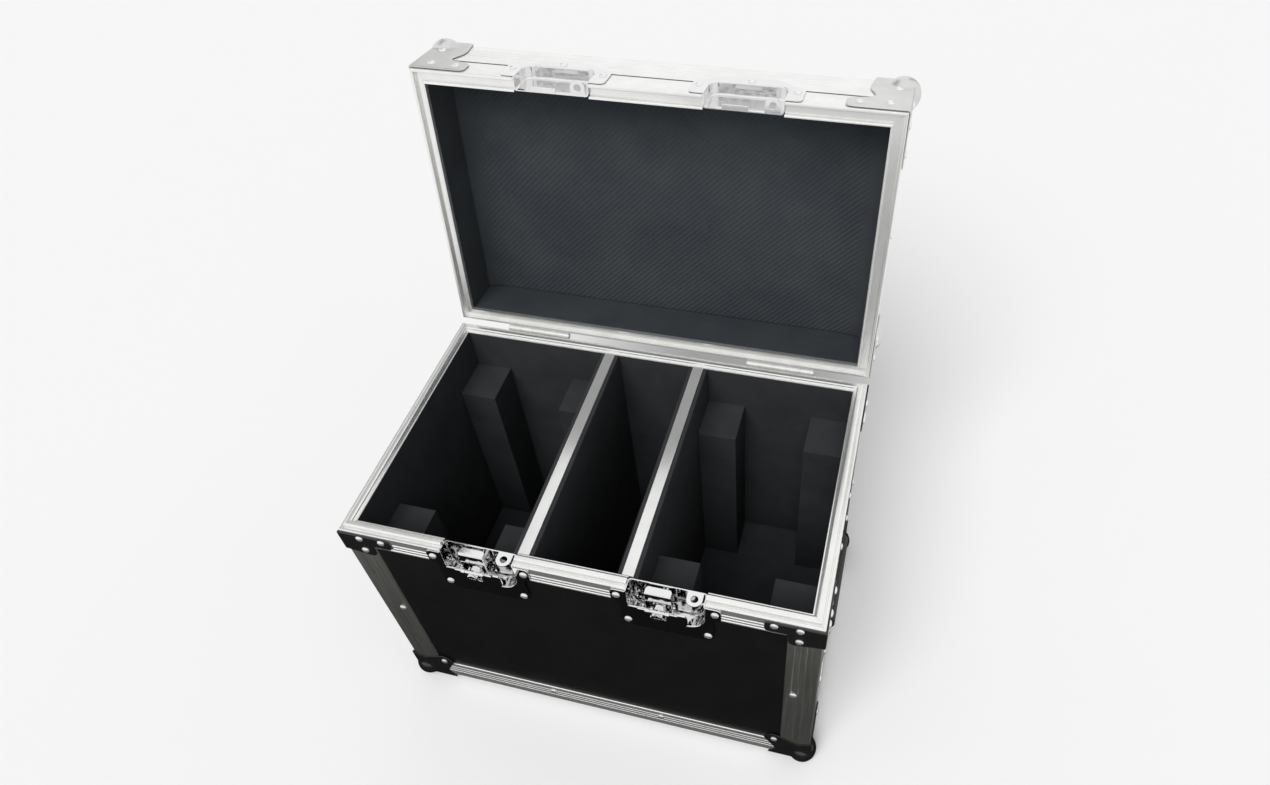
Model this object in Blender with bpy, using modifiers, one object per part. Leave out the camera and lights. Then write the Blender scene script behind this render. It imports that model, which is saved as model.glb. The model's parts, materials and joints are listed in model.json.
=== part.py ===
"""Lighting flight case with its lid open.

The case stands on its ball corners, lid hinged at the back and open past upright.
X runs along the front, Y from the front to the back, Z up. The case is drawn round the
middle of its bottom panel's underside, and at the end it is moved so that the origin is
on the floor, at the middle of the open case's box. Lengths are metres.

On a wall, x runs to the right of someone who faces it, y runs up and z comes out of it.
"""
import math

import bmesh
import bpy
from mathutils import Matrix, Vector

MM = 0.001

# Case
WIDTH = 500 * MM
DEPTH = 310 * MM
BASE_HEIGHT = 325 * MM
LID_HEIGHT = 75 * MM
LID_OPEN = math.radians(98)
GAP = 0.3 * MM

# Wall layers, measured inward from the outer face
SHEET = 1.5 * MM
PANEL = 6.5 * MM
INNER_LEG = 1.2 * MM
FOAM = 4.2 * MM

# Corner angles
ANGLE_LEG = 34.5 * MM
ANGLE_SLOT_LEG = 20 * MM
ANGLE_ROUND = 2.5 * MM
ANGLE_GROOVE = (1.2 * MM, 0.4 * MM)
ANGLE_GROOVES = (14 * MM, 20 * MM, 26 * MM)
GROOVE_FLAT_SHARE = 0.25

# Rim profiles, heights from the rim plane
RIM_FLANGE = 24 * MM
RIM_EDGE_ROUND = 0.8 * MM
RIM_SHOULDER = 3 * MM
RIM_INNER = 14.6 * MM
RIM_LIP = 1.2 * MM
RIM_SLOT_LEG = 12 * MM
RIM_GROOVE = (2.2 * MM, 0.7 * MM)
RIM_GROOVES = (10.4 * MM, 14.4 * MM, 18.4 * MM, 22.4 * MM)
TONGUE_START = 4.5 * MM
TONGUE_END = 11.5 * MM
TONGUE_HEIGHT = 4.1 * MM
TONGUE_SIDE = 2.3 * MM
TONGUE_ROUND = 1.8 * MM
TONGUE_SHOULDER = (0.9 * MM, 0.45 * MM)
TONGUE_FOOT = 13.3 * MM
TONGUE_DITCH = 0.8 * MM
LID_FLANGE = 29 * MM
LID_SHOULDER = 3.3 * MM
LID_DITCH_END = 12.3 * MM
LID_DITCH_HEIGHT = 4.6 * MM
LID_DITCH_CHAMFER = 1.6 * MM
LID_BODY = 5.8 * MM
LID_FRAME_START = 32 * MM
LID_SLOT_LEG = 16 * MM

# Hinges
HINGE_CORNER_CLEAR = 3 * MM
HINGE_AXIS_OUT = 4.2 * MM
HINGE_WIDTH = 78 * MM
HINGE_KNUCKLE = 3.8 * MM
HINGE_BORE = 1.8 * MM
HINGE_PIN = 1.5 * MM
HINGE_LEAF = 1.2 * MM
HINGE_LEAF_END = 32 * MM
HINGE_CLEAR = 4.4 * MM
HINGE_TAB_START = 1.2 * MM
HINGE_TAB_END = 8.8 * MM
HINGE_TAB_INSET = 0.4 * MM
HINGE_TAB_THIN = 0.1 * MM
HINGE_PIN_HEAD = 0.5 * MM
HINGE_KNUCKLES = 5

# Corner hardware
CORNER_SHEET = 1.5 * MM
BALL_RADIUS = 17 * MM
BALL_INSET = 9 * MM
BALL_FOOT_FLAT = 1 * MM
BALL_CUT = 0.8 * MM
BALL_EDGE = 48 * MM
BALL_DIP = (39 * MM, 13 * MM)
BALL_DIP_ROUND = 5 * MM
BALL_TIP = (55.5 * MM, 43.5 * MM)
BALL_TIP_ROUND = 8.5 * MM
LID_CORNER_EDGE = 37 * MM
LID_CORNER_DIP = (33 * MM, 12 * MM)
LID_CORNER_SHOULDER = (41 * MM, 50 * MM)
LID_CORNER_WAIST = (31 * MM, 29 * MM)
LID_CORNER_ARM = (59 * MM, 23 * MM)
LID_CORNER_ROUNDS = (20 * MM, 6 * MM, 9 * MM, 7 * MM)
BRACE_TOP = 3 * MM
BRACE_ARM = 57 * MM
BRACE_ARM_WIDTH = 16 * MM
BRACE_LOBE = 33 * MM
BRACE_BOTTOM = 42 * MM
BRACE_CORNER_BOTTOM = 32 * MM
BRACE_ROUNDS = (7.5 * MM, 7.5 * MM, 5 * MM, 15 * MM)

# Latches and keepers, heights from the rim plane
LATCH_PLACE_SHARE = 0.194
LATCH_AXIS_X = -8 * MM
LATCH_AXIS_Y = -33 * MM
DISH_SHEET = 1 * MM
DISH_FLANGE = 1.2 * MM
RECESS_HALF = 38.2 * MM
RECESS_BOTTOM = 46 * MM
RECESS_ROUND = 20 * MM
RECESS_BACK = 11.8 * MM
NOTCH_CLEAR = 0.3 * MM
LATCH_EAR_HALF = 55 * MM
LATCH_EAR_TOP = 2.5 * MM
LATCH_EAR_BOTTOM = 24 * MM
LATCH_BODY_HALF = 47 * MM
LATCH_BODY_BOTTOM = 67 * MM
LATCH_EAR_ROUND = 5 * MM
LATCH_BODY_ROUND = 14 * MM
LATCH_STEP_ROUND = 3 * MM
PADLOCK_LEFT = 20.5 * MM
PADLOCK_RIGHT = 36 * MM
PADLOCK_OUT = 3 * MM
PADLOCK_ROUND = 7.5 * MM
PADLOCK_SHEET = 1.2 * MM
PADLOCK_HOLE_X = 28.25 * MM
PADLOCK_HOLE_IN = 4.6 * MM
PADLOCK_HOLE = 3.8 * MM
KEEPER_TOP = 33 * MM
KEEPER_RECESS_ROUND = 10 * MM
KEEPER_EAR_BOTTOM = 3 * MM
KEEPER_EAR_TOP = 31 * MM
KEEPER_BODY_HALF = 30 * MM
KEEPER_BODY_TOP = 47 * MM
KEEPER_BODY_ROUND = 12 * MM
KEEPER_SHELF_HALF = 13 * MM
KEEPER_SHELF_IN = 7.5 * MM
KEEPER_SHELF_LOW = 0.5 * MM
HOOK_HALF = 13 * MM
HOOK_FACE = 2 * MM
HOOK_SHEET = 1.5 * MM
HOOK_TOP = 3.5 * MM
HOOK_BOTTOM = 44.3 * MM
HOOK_CLAW_IN = 10.5 * MM
HOOK_ROUND = 4 * MM
HOOK_WINDOW_HALF = 10 * MM
HOOK_WINDOW_TOP = 30.15 * MM
HOOK_WINDOW_BOTTOM = 42.85 * MM
HOOK_WINDOW_ROUND = 2 * MM
ROTOR_JOURNAL = 3.5 * MM
ROTOR_BORE = 3.8 * MM
ROTOR_BACK = 12.6 * MM
ROTOR_CAM = 5.5 * MM
ROTOR_CAM_THROW = 3.5 * MM
ROTOR_CAM_SIDE = 0.25 * MM
ROTOR_BOSS = 7 * MM
ROTOR_BOSS_OUT = 7 * MM
ROTOR_SLOT_HALF = 0.7 * MM
ROTOR_SLOT_LENGTH = 7 * MM
ROTOR_SLOT_DEPTH = 1.2 * MM
ROTOR_TAB_HALF = 7.7 * MM
ROTOR_TAB_LOW = 2.9 * MM
ROTOR_TAB_HIGH = 4.5 * MM
ROTOR_KNUCKLE = 1.6 * MM
WING_AXIS_UP = 7 * MM
WING_AXIS_OUT = 3.7 * MM
WING_PIN = 1.1 * MM
WING_PIN_HALF = 12 * MM
WING_BORE = 1.3 * MM
WING_KNUCKLE = 2 * MM
WING_KNUCKLE_FROM = 8 * MM
WING_INNER = 2 * MM
WING_OUTER = 3.4 * MM
WING_HALF = 30 * MM
WING_ABOVE = 0.8 * MM
WING_BELOW = 20 * MM
WING_NOTCH_HALF = 8.3 * MM
WING_BRIDGE = 4.5 * MM
WING_ROUND = 9 * MM
WING_TOP_ROUND = 3 * MM
WING_NOTCH_ROUND = 3 * MM

# Side handles, heights from the rim plane
HANDLE_Y = 157 * MM
HANDLE_FLANGE_X = 15 * MM
HANDLE_FLANGE_Y = 14 * MM
HANDLE_FLANGE_ROUND = 12 * MM
HANDLE_RECESS_HALF_X = 70 * MM
HANDLE_RECESS_HALF_Y = 50 * MM
HANDLE_RECESS_ROUND = 14 * MM
HANDLE_PIVOT_UP = 22 * MM
HANDLE_PIVOT_IN = 5 * MM
HANDLE_ROD = 3.5 * MM
HANDLE_ROD_CLEAR = 8 * MM
HANDLE_BEND_ROUND = 4 * MM
HANDLE_ROD_DROP = 37 * MM
HANDLE_GRIP_CLEAR = 14 * MM
HANDLE_GRIP_THICK = 16 * MM
HANDLE_GRIP_HEIGHT = 24 * MM
HANDLE_GRIP_OUT = 3 * MM
HANDLE_GRIP_CHAMFER = 5 * MM
HANDLE_GRIP_BORE = 3.8 * MM
HANDLE_STUB_IN = 0.8 * MM

# Dividers and foam
DIVIDER_PLACE_SHARES = (-0.104, 0.112)
DIVIDER_HALF = 6 * MM
DIVIDER_TONGUE_HALF = 4.5 * MM
DIVIDER_END = 13.4 * MM
CAP_SHEET = 1.2 * MM
CAP_SKIRT = 12 * MM
FOAM_FLOOR = 10 * MM
FOAM_POCKET_WALL = 1.2 * MM
LID_PAD = 7.4 * MM
BLOCK_WIDTH = 45 * MM
BLOCK_FRONT = 60.7 * MM
BLOCK_BACK = 53 * MM
BLOCK_DROP = 55 * MM
BLOCK_SINK = 2 * MM

# Roundness
ARC_STEPS = 3
ROUND_SIDES = 16
BALL_SIDES = 16
SMALL_SIDES = 12
HEX_SIDES = 6
ROD_RESOLUTION = 2
SMOOTH_ANGLE = math.radians(35)
FLAT_ANGLE = math.radians(0.1)
WELD = 0.001 * MM
PAST = 5 * MM

# Places that follow from the sizes above
PANEL_FACE = SHEET + GAP
PANEL_BACK = PANEL_FACE + PANEL
LEG_FACE = PANEL_BACK + GAP
CORE = LEG_FACE + INNER_LEG
LINING = CORE + GAP
LINING_FACE = LINING + FOAM
HALF_WIDTH = WIDTH / 2
HALF_DEPTH = DEPTH / 2
HINGE_X = HALF_WIDTH - LID_CORNER_ARM[0] - HINGE_CORNER_CLEAR - HINGE_WIDTH / 2
LATCH_X = WIDTH * LATCH_PLACE_SHARE
LID_PAD_DEPTH = LID_HEIGHT - LINING - LID_PAD
DIVIDER_X = [WIDTH * share for share in DIVIDER_PLACE_SHARES]
HANDLE_FLANGE_HALF_X = HANDLE_RECESS_HALF_X + HANDLE_FLANGE_X
HANDLE_FLANGE_HALF_Y = HANDLE_RECESS_HALF_Y + HANDLE_FLANGE_Y
HANDLE_ROD_HALF = HANDLE_RECESS_HALF_X - HANDLE_ROD_CLEAR
HANDLE_GRIP_HALF = HANDLE_RECESS_HALF_X - HANDLE_GRIP_CLEAR
HANDLE_STUB_END = HANDLE_RECESS_HALF_X + HANDLE_STUB_IN
BOTTOM = -PANEL_FACE
RIM = BOTTOM + BASE_HEIGHT
LID_TOP = RIM + LID_HEIGHT
NOTCH_HALF = RECESS_HALF + DISH_SHEET + NOTCH_CLEAR
NOTCH_OUTER = LATCH_X + NOTCH_HALF
NOTCH_INNER = LATCH_X - NOTCH_HALF
DISH_BACK = RECESS_BACK + DISH_SHEET
POCKET_BACK = LINING_FACE - FOAM_POCKET_WALL
HINGE_AXIS = Vector((0, HALF_DEPTH + HINGE_AXIS_OUT, RIM))
SIDES = {"left": -1, "right": 1}
CORNERS = {
    "front_left": (-1, -1),
    "front_right": (1, -1),
    "rear_right": (1, 1),
    "rear_left": (-1, 1),
}


def clear_scene():
    for item in list(bpy.data.objects):
        bpy.data.objects.remove(item)


def make_collection(name):
    collection = bpy.data.collections.new(name)
    bpy.context.scene.collection.children.link(collection)
    return collection


clear_scene()
CASE = make_collection("lighting_flight_case")
CUTTERS = make_collection("cutters")


def make_material(name, colour, metallic, roughness):
    material = bpy.data.materials.new(name)
    material.use_nodes = True
    shader = material.node_tree.nodes["Principled BSDF"]
    shader.inputs["Base Color"].default_value = (*colour, 1)
    shader.inputs["Metallic"].default_value = metallic
    shader.inputs["Roughness"].default_value = roughness
    return material


MATERIALS = {
    "aluminium": make_material("aluminium", (0.62, 0.62, 0.60), 1.0, 0.34),
    "laminate": make_material("black_laminate", (0.007, 0.007, 0.008), 0.0, 0.38),
    "black_steel": make_material("black_steel", (0.012, 0.012, 0.014), 0.3, 0.36),
    "silver_steel": make_material("silver_steel", (0.60, 0.60, 0.58), 1.0, 0.42),
    "chrome": make_material("chrome", (0.80, 0.80, 0.81), 1.0, 0.12),
    "foam": make_material("foam", (0.018, 0.020, 0.022), 0.0, 0.95),
    "board": make_material("board", (0.02, 0.02, 0.022), 0.0, 0.8),
    "grip": make_material("grip", (0.010, 0.010, 0.011), 0.0, 0.55),
}


def new_part(name, mesh, material, matrix=None, parent=None):
    """Add a finished piece; under a parent, the matrix is still its place in the closed case."""
    part = bpy.data.objects.new(name, mesh)
    CASE.objects.link(part)
    if not mesh.materials:
        mesh.materials.append(MATERIALS[material])
        mesh.shade_smooth()
        mesh.set_sharp_from_angle(angle=SMOOTH_ANGLE)
    if parent:
        part.parent = parent
        part.matrix_parent_inverse = Matrix.Translation(-parent.location)
    part.matrix_basis = matrix or Matrix.Identity(4)
    return part


def wall_matrix(side, along=0, up=0):
    """Place a piece drawn facing a wall: x along the wall, y up from the given height, z outward."""
    turns = {"front": 0, "right": 90, "rear": 180, "left": 270}
    turn = Matrix.Rotation(math.radians(turns[side]), 4, "Z")
    out = HALF_DEPTH if side in ("front", "rear") else HALF_WIDTH
    stand = Matrix.Rotation(math.radians(90), 4, "X")
    return turn @ Matrix.Translation((along, -out, up)) @ stand


def mesh_from(bm, name="shape"):
    bmesh.ops.recalc_face_normals(bm, faces=bm.faces)
    mesh = bpy.data.meshes.new(name)
    bm.to_mesh(mesh)
    bm.free()
    return mesh


def box(low, high):
    """Box between two opposite corners."""
    bm = bmesh.new()
    bmesh.ops.create_cube(bm, size=1)
    low = Vector(low)
    high = Vector(high)
    bmesh.ops.scale(bm, vec=high - low, verts=bm.verts)
    bmesh.ops.translate(bm, vec=(low + high) / 2, verts=bm.verts)
    return mesh_from(bm)


def cylinder(radius, start, end, sides=ROUND_SIDES):
    """Cylinder between two points."""
    start = Vector(start)
    end = Vector(end)
    run = end - start
    bm = bmesh.new()
    bmesh.ops.create_cone(
        bm, cap_ends=True, segments=sides, radius1=radius, radius2=radius, depth=run.length
    )
    turn = run.to_track_quat("Z", "Y").to_matrix().to_4x4()
    place = Matrix.Translation((start + end) / 2) @ turn
    bmesh.ops.transform(bm, matrix=place, verts=bm.verts)
    return mesh_from(bm)


def rounded(corners):
    """Outline through (x, y, radius) corners, each turned with an arc of its radius."""
    points = []
    for index, (x, y, radius) in enumerate(corners):
        here = Vector((x, y))
        if not radius:
            points.append(here)
            continue
        before = Vector(corners[index - 1][:2])
        after = Vector(corners[(index + 1) % len(corners)][:2])
        back = (before - here).normalized()
        ahead = (after - here).normalized()
        half_angle = back.angle(ahead) / 2
        centre = here + (back + ahead).normalized() * radius / math.sin(half_angle)
        start = here + back * radius / math.tan(half_angle) - centre
        turn = start.angle_signed(here + ahead * radius / math.tan(half_angle) - centre)
        for step in range(ARC_STEPS + 1):
            spin = Matrix.Rotation(-turn * step / ARC_STEPS, 2)
            points.append(centre + spin @ start)
    return points


def rounded_box(left, bottom, right, top, radius):
    """Outline of a rectangle with four rounded corners."""
    corners = ((left, bottom), (right, bottom), (right, top), (left, top))
    return rounded([(x, y, radius) for x, y in corners])


def plate(outlines, low, high):
    """Flat piece between two heights from outlines in x and y; inner outlines are holes."""
    curve = bpy.data.curves.new("outline", "CURVE")
    curve.dimensions = "2D"
    curve.fill_mode = "BOTH"
    curve.extrude = (high - low) / 2
    for outline in outlines:
        spline = curve.splines.new("POLY")
        spline.points.add(len(outline) - 1)
        for point, (x, y) in zip(spline.points, outline):
            point.co = (x, y, 0, 1)
        spline.use_cyclic_u = True
    guide = bpy.data.objects.new("outline", curve)
    CUTTERS.objects.link(guide)
    bpy.context.view_layer.update()
    seen = guide.evaluated_get(bpy.context.evaluated_depsgraph_get())
    mesh = bpy.data.meshes.new_from_object(seen)
    bpy.data.objects.remove(guide)
    bm = bmesh.new()
    bm.from_mesh(mesh)
    bmesh.ops.remove_doubles(bm, verts=bm.verts, dist=WELD)
    bmesh.ops.dissolve_limit(bm, angle_limit=FLAT_ANGLE, verts=bm.verts, edges=bm.edges)
    bmesh.ops.translate(bm, vec=(0, 0, (low + high) / 2), verts=bm.verts)
    return mesh_from(bm)


def moved(mesh, matrix):
    """Copy of a mesh, moved or mirrored, with its faces kept outward."""
    bm = bmesh.new()
    bm.from_mesh(mesh)
    bmesh.ops.transform(bm, matrix=matrix, verts=bm.verts)
    return mesh_from(bm)


def changed(mesh, set_up):
    """Mesh of a passing object after set_up has put modifiers on it."""
    body = bpy.data.objects.new("body", mesh)
    CUTTERS.objects.link(body)
    set_up(body)
    bpy.context.view_layer.update()
    seen = body.evaluated_get(bpy.context.evaluated_depsgraph_get())
    result = bpy.data.meshes.new_from_object(seen)
    bpy.data.objects.remove(body)
    return result


def solid(base, add=(), cut=()):
    """Join the add meshes to the base, then cut the cut meshes out of it."""
    tools = []

    def set_up(body):
        for operation, meshes in (("UNION", add), ("DIFFERENCE", cut)):
            for mesh in meshes:
                tool = bpy.data.objects.new("cutter", mesh)
                tool.hide_render = True
                tool.display_type = "WIRE"
                CUTTERS.objects.link(tool)
                tools.append(tool)
                modifier = body.modifiers.new("Boolean", "BOOLEAN")
                modifier.operation = operation
                modifier.solver = "EXACT"
                modifier.object = tool

    result = changed(base, set_up)
    for tool in tools:
        bpy.data.objects.remove(tool)
    return result


def ring(profile, half_x, half_y, notch=0):
    """Sweep an (inward, up) profile round a rectangle with mitred corners.

    With a notch, the front side is left open over that half width.
    """
    stations = [(-1, -1), (-1, 1), (1, 1), (1, -1)]
    rows = []
    bm = bmesh.new()
    if notch:
        rows.append([bm.verts.new((-notch, inward - half_y, up)) for inward, up in profile])
    for side_x, side_y in stations:
        row = []
        for inward, up in profile:
            row.append(bm.verts.new((side_x * (half_x - inward), side_y * (half_y - inward), up)))
        rows.append(row)
    if notch:
        rows.append([bm.verts.new((notch, inward - half_y, up)) for inward, up in profile])
        bm.faces.new(rows[0])
        bm.faces.new(rows[-1])
    else:
        rows.append(rows[0])
    for row, after in zip(rows, rows[1:]):
        for index in range(len(profile)):
            bm.faces.new((row[index - 1], row[index], after[index], after[index - 1]))
    return mesh_from(bm)


def grooves(centres, size, leg_end):
    """Groove points (along, depth) on one leg, from its far end towards the corner.

    The size is a groove's (width, depth).
    """
    width, depth = size
    points = []
    for centre in sorted(centres, reverse=True):
        if centre + width / 2 < leg_end:
            points.append((centre + width / 2, 0))
            points.append((centre + width * GROOVE_FLAT_SHARE, depth))
            points.append((centre - width * GROOVE_FLAT_SHARE, depth))
            points.append((centre - width / 2, 0))
    return points


def angle_profile(leg_a, leg_b):
    """Ribbed corner angle with a solid core and two slot legs, in (a, b) from its outer faces."""
    outer_a = [(leg_a, 0)] + grooves(ANGLE_GROOVES, ANGLE_GROOVE, leg_a)
    outer_b = [(0, leg_b)]
    outer_b += [(depth, along) for along, depth in grooves(ANGLE_GROOVES, ANGLE_GROOVE, leg_b)]
    arc = []
    for step in range(ARC_STEPS + 1):
        turn = math.pi / 2 * step / ARC_STEPS
        across = ANGLE_ROUND * (1 - math.sin(turn))
        down = ANGLE_ROUND * (1 - math.cos(turn))
        arc.append((across, down))
    inside = [
        (SHEET, leg_b),
        (SHEET, CORE),
        (LEG_FACE, CORE),
        (LEG_FACE, ANGLE_SLOT_LEG),
        (CORE, ANGLE_SLOT_LEG),
        (CORE, CORE),
        (ANGLE_SLOT_LEG, CORE),
        (ANGLE_SLOT_LEG, LEG_FACE),
        (CORE, LEG_FACE),
        (CORE, SHEET),
        (leg_a, SHEET),
    ]
    return outer_a + arc + outer_b[::-1] + inside


def base_rim_profile():
    """Tongue half of the closing profile, in (inward, up) from the rim plane."""
    flange = [(0, -RIM_FLANGE)]
    flange += [(depth, -along) for along, depth in grooves(RIM_GROOVES, RIM_GROOVE, RIM_FLANGE)]
    shoulder_in, shoulder_down = TONGUE_SHOULDER
    top = [
        (0, -RIM_EDGE_ROUND),
        (RIM_EDGE_ROUND, 0),
        (RIM_SHOULDER, 0),
        (RIM_SHOULDER, -TONGUE_DITCH),
        (TONGUE_START, -TONGUE_DITCH),
        (TONGUE_START, TONGUE_SIDE),
        (TONGUE_START + shoulder_in, TONGUE_HEIGHT - shoulder_down),
        (TONGUE_START + TONGUE_ROUND, TONGUE_HEIGHT),
        (TONGUE_END - TONGUE_ROUND, TONGUE_HEIGHT),
        (TONGUE_END - shoulder_in, TONGUE_HEIGHT - shoulder_down),
        (TONGUE_END, TONGUE_SIDE),
        (TONGUE_FOOT, 0),
        (RIM_INNER, 0),
        (RIM_INNER, -RIM_LIP),
    ]
    slot = [
        (CORE, -RIM_LIP),
        (CORE, -RIM_SLOT_LEG),
        (LEG_FACE, -RIM_SLOT_LEG),
        (LEG_FACE, -RIM_LIP),
        (SHEET, -RIM_LIP),
        (SHEET, -RIM_FLANGE),
    ]
    return flange + top + slot


def lid_rim_profile():
    """Groove half of the closing profile, in (inward, up) from the rim plane."""
    flange = [(0, LID_FLANGE)]
    flange += [(depth, along) for along, depth in grooves(RIM_GROOVES, RIM_GROOVE, LID_FLANGE)]
    face = [
        (0, GAP + RIM_EDGE_ROUND),
        (RIM_EDGE_ROUND, GAP),
        (LID_SHOULDER, GAP),
        (LID_SHOULDER, LID_DITCH_HEIGHT),
        (LID_DITCH_END, LID_DITCH_HEIGHT),
        (LID_DITCH_END, GAP + LID_DITCH_CHAMFER),
        (LID_DITCH_END + LID_DITCH_CHAMFER, GAP),
        (RIM_INNER, GAP),
        (RIM_INNER, LID_BODY),
    ]
    slot = [
        (CORE, LID_BODY),
        (CORE, LID_SLOT_LEG),
        (LEG_FACE, LID_SLOT_LEG),
        (LEG_FACE, LID_BODY),
        (SHEET, LID_BODY),
        (SHEET, LID_FLANGE),
    ]
    return flange + face + slot


def straight_run(profile, half_length):
    """Length of a rim profile along the front, centred."""
    rows = []
    bm = bmesh.new()
    for end in (-half_length, half_length):
        rows.append([bm.verts.new((end, inward - HALF_DEPTH, up)) for inward, up in profile])
    for index in range(len(profile)):
        bm.faces.new((rows[0][index - 1], rows[0][index], rows[1][index], rows[1][index - 1]))
    bm.faces.new(rows[0])
    bm.faces.new(rows[1])
    return mesh_from(bm)


def notched_wall(half_length, low, high, notches):
    """Outline of a wall panel with (left, right, bottom, top) notches in its bottom or top edge."""
    bottom = [(-half_length, low)]
    top = [(half_length, high)]
    for left, right, start, end in sorted(notches):
        if start <= low:
            bottom += [(left, low), (left, end), (right, end), (right, low)]
    for left, right, start, end in sorted(notches, reverse=True):
        if end >= high:
            top += [(right, high), (right, start), (left, start), (left, high)]
    return bottom + [(half_length, low)] + top + [(-half_length, high)]


def base_shell():
    """Panels, corner angles, bottom frame and rim of the base."""
    wall_low = BOTTOM + LINING
    wall_high = RIM - RIM_LIP - GAP
    half_x = HALF_WIDTH - LINING
    half_y = HALF_DEPTH - LINING
    notch_low = RIM - RECESS_BOTTOM - DISH_SHEET - NOTCH_CLEAR
    notches = []
    for side in SIDES.values():
        centre = side * LATCH_X
        notches.append((centre - NOTCH_HALF, centre + NOTCH_HALF, notch_low, wall_high))
    front = plate([notched_wall(half_x, wall_low, wall_high, notches)], -PANEL_BACK, -PANEL_FACE)
    new_part("panel_front", front, "laminate", wall_matrix("front"))
    rear = plate([notched_wall(half_x, wall_low, wall_high, [])], -PANEL_BACK, -PANEL_FACE)
    new_part("panel_rear", rear, "laminate", wall_matrix("rear"))
    handle_clear = DISH_SHEET + NOTCH_CLEAR
    hole = rounded_box(
        -HANDLE_RECESS_HALF_X - handle_clear,
        RIM - HANDLE_Y - HANDLE_RECESS_HALF_Y - handle_clear,
        HANDLE_RECESS_HALF_X + handle_clear,
        RIM - HANDLE_Y + HANDLE_RECESS_HALF_Y + handle_clear,
        HANDLE_RECESS_ROUND + handle_clear,
    )
    side_outline = notched_wall(half_y, wall_low, wall_high, [])
    side_panel = plate([side_outline, hole], -PANEL_BACK, -PANEL_FACE)
    for side in SIDES:
        new_part("panel_" + side, side_panel, "laminate", wall_matrix(side))
    new_part("panel_bottom", box((-half_x, -half_y, 0), (half_x, half_y, PANEL)), "laminate")

    frame = ring(angle_profile(ANGLE_LEG, ANGLE_LEG), HALF_WIDTH, HALF_DEPTH)
    new_part("bottom_frame", frame, "aluminium", Matrix.Translation((0, 0, BOTTOM)))

    angle_low = BOTTOM + ANGLE_LEG + GAP
    angle_high = RIM - RIM_FLANGE - GAP
    angle = plate([angle_profile(ANGLE_LEG, ANGLE_LEG)], 0, angle_high - angle_low)
    places = (
        ("front_left", -HALF_WIDTH, -HALF_DEPTH, 0),
        ("front_right", HALF_WIDTH, -HALF_DEPTH, 90),
        ("rear_right", HALF_WIDTH, HALF_DEPTH, 180),
        ("rear_left", -HALF_WIDTH, HALF_DEPTH, 270),
    )
    for name, x, y, turn in places:
        spin = Matrix.Rotation(math.radians(turn), 4, "Z")
        new_part("corner_angle_" + name, angle, "aluminium", Matrix.Translation((x, y, angle_low)) @ spin)

    at_rim = Matrix.Translation((0, 0, RIM))
    surround = ring(base_rim_profile(), HALF_WIDTH, HALF_DEPTH, NOTCH_OUTER)
    new_part("base_rim", surround, "aluminium", at_rim)
    new_part("base_rim_middle", straight_run(base_rim_profile(), NOTCH_INNER), "aluminium", at_rim)


def bent_sheet(wall, cap=None):
    """Sheet on the two walls, and the cap face, of a corner whose inside is +x, +y, +z.

    Outlines are (a, b): along the edge from the corner and away from the cap face.
    """
    bm = bmesh.new()

    def shift(value):
        return -GAP if abs(value) < WELD else value

    bm.faces.new([bm.verts.new((shift(a), -GAP, shift(b))) for a, b in wall])
    bm.faces.new([bm.verts.new((-GAP, shift(a), shift(b))) for a, b in reversed(wall)])
    if cap:
        bm.faces.new([bm.verts.new((shift(a), shift(b), -GAP)) for a, b in reversed(cap)])
    bmesh.ops.remove_doubles(bm, verts=bm.verts, dist=WELD)
    sheet = bpy.data.meshes.new("sheet")
    bm.to_mesh(sheet)
    bm.free()

    def thicken(body):
        solidify = body.modifiers.new("Solidify", "SOLIDIFY")
        solidify.thickness = CORNER_SHEET
        solidify.offset = 1
        solidify.use_even_offset = True

    return changed(sheet, thicken)


def ball(sheet, foot_flat=0):
    """Join a ball to a corner sheet, hollowed where the case corner sits."""
    bm = bmesh.new()
    bmesh.ops.create_uvsphere(bm, u_segments=BALL_SIDES, v_segments=BALL_SIDES // 2, radius=BALL_RADIUS)
    bmesh.ops.translate(bm, vec=(BALL_INSET, BALL_INSET, BALL_INSET), verts=bm.verts)
    globe = mesh_from(bm)
    far = BALL_INSET + BALL_RADIUS + PAST
    cuts = [box((-BALL_CUT, -BALL_CUT, -BALL_CUT), (far, far, far))]
    if foot_flat:
        foot = BALL_INSET - BALL_RADIUS + foot_flat
        cuts.append(box((-far, -far, foot - far), (far, far, foot)))
    return solid(solid(globe, cut=cuts), add=[sheet])


def mirrored_to(mesh, corner, down):
    """Corner piece mirrored to one corner; down turns it to hang from its cap face."""
    side_x, side_y = corner
    flip = Matrix.Diagonal((-side_x, -side_y, -1 if down else 1, 1))
    return moved(mesh, flip)


def corner_tip(edge, dip):
    """Outline of one ball corner leg on the cap face, from the corner out and back."""
    tip_a, tip_b = BALL_TIP
    dip_a, dip_b = dip
    return rounded([
        (0, 0, 0),
        (edge, 0, 0),
        (dip_a, dip_b, BALL_DIP_ROUND),
        (tip_a, tip_b, BALL_TIP_ROUND),
        (tip_b, tip_a, BALL_TIP_ROUND),
        (dip_b, dip_a, BALL_DIP_ROUND),
        (0, edge, 0),
    ])


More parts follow.
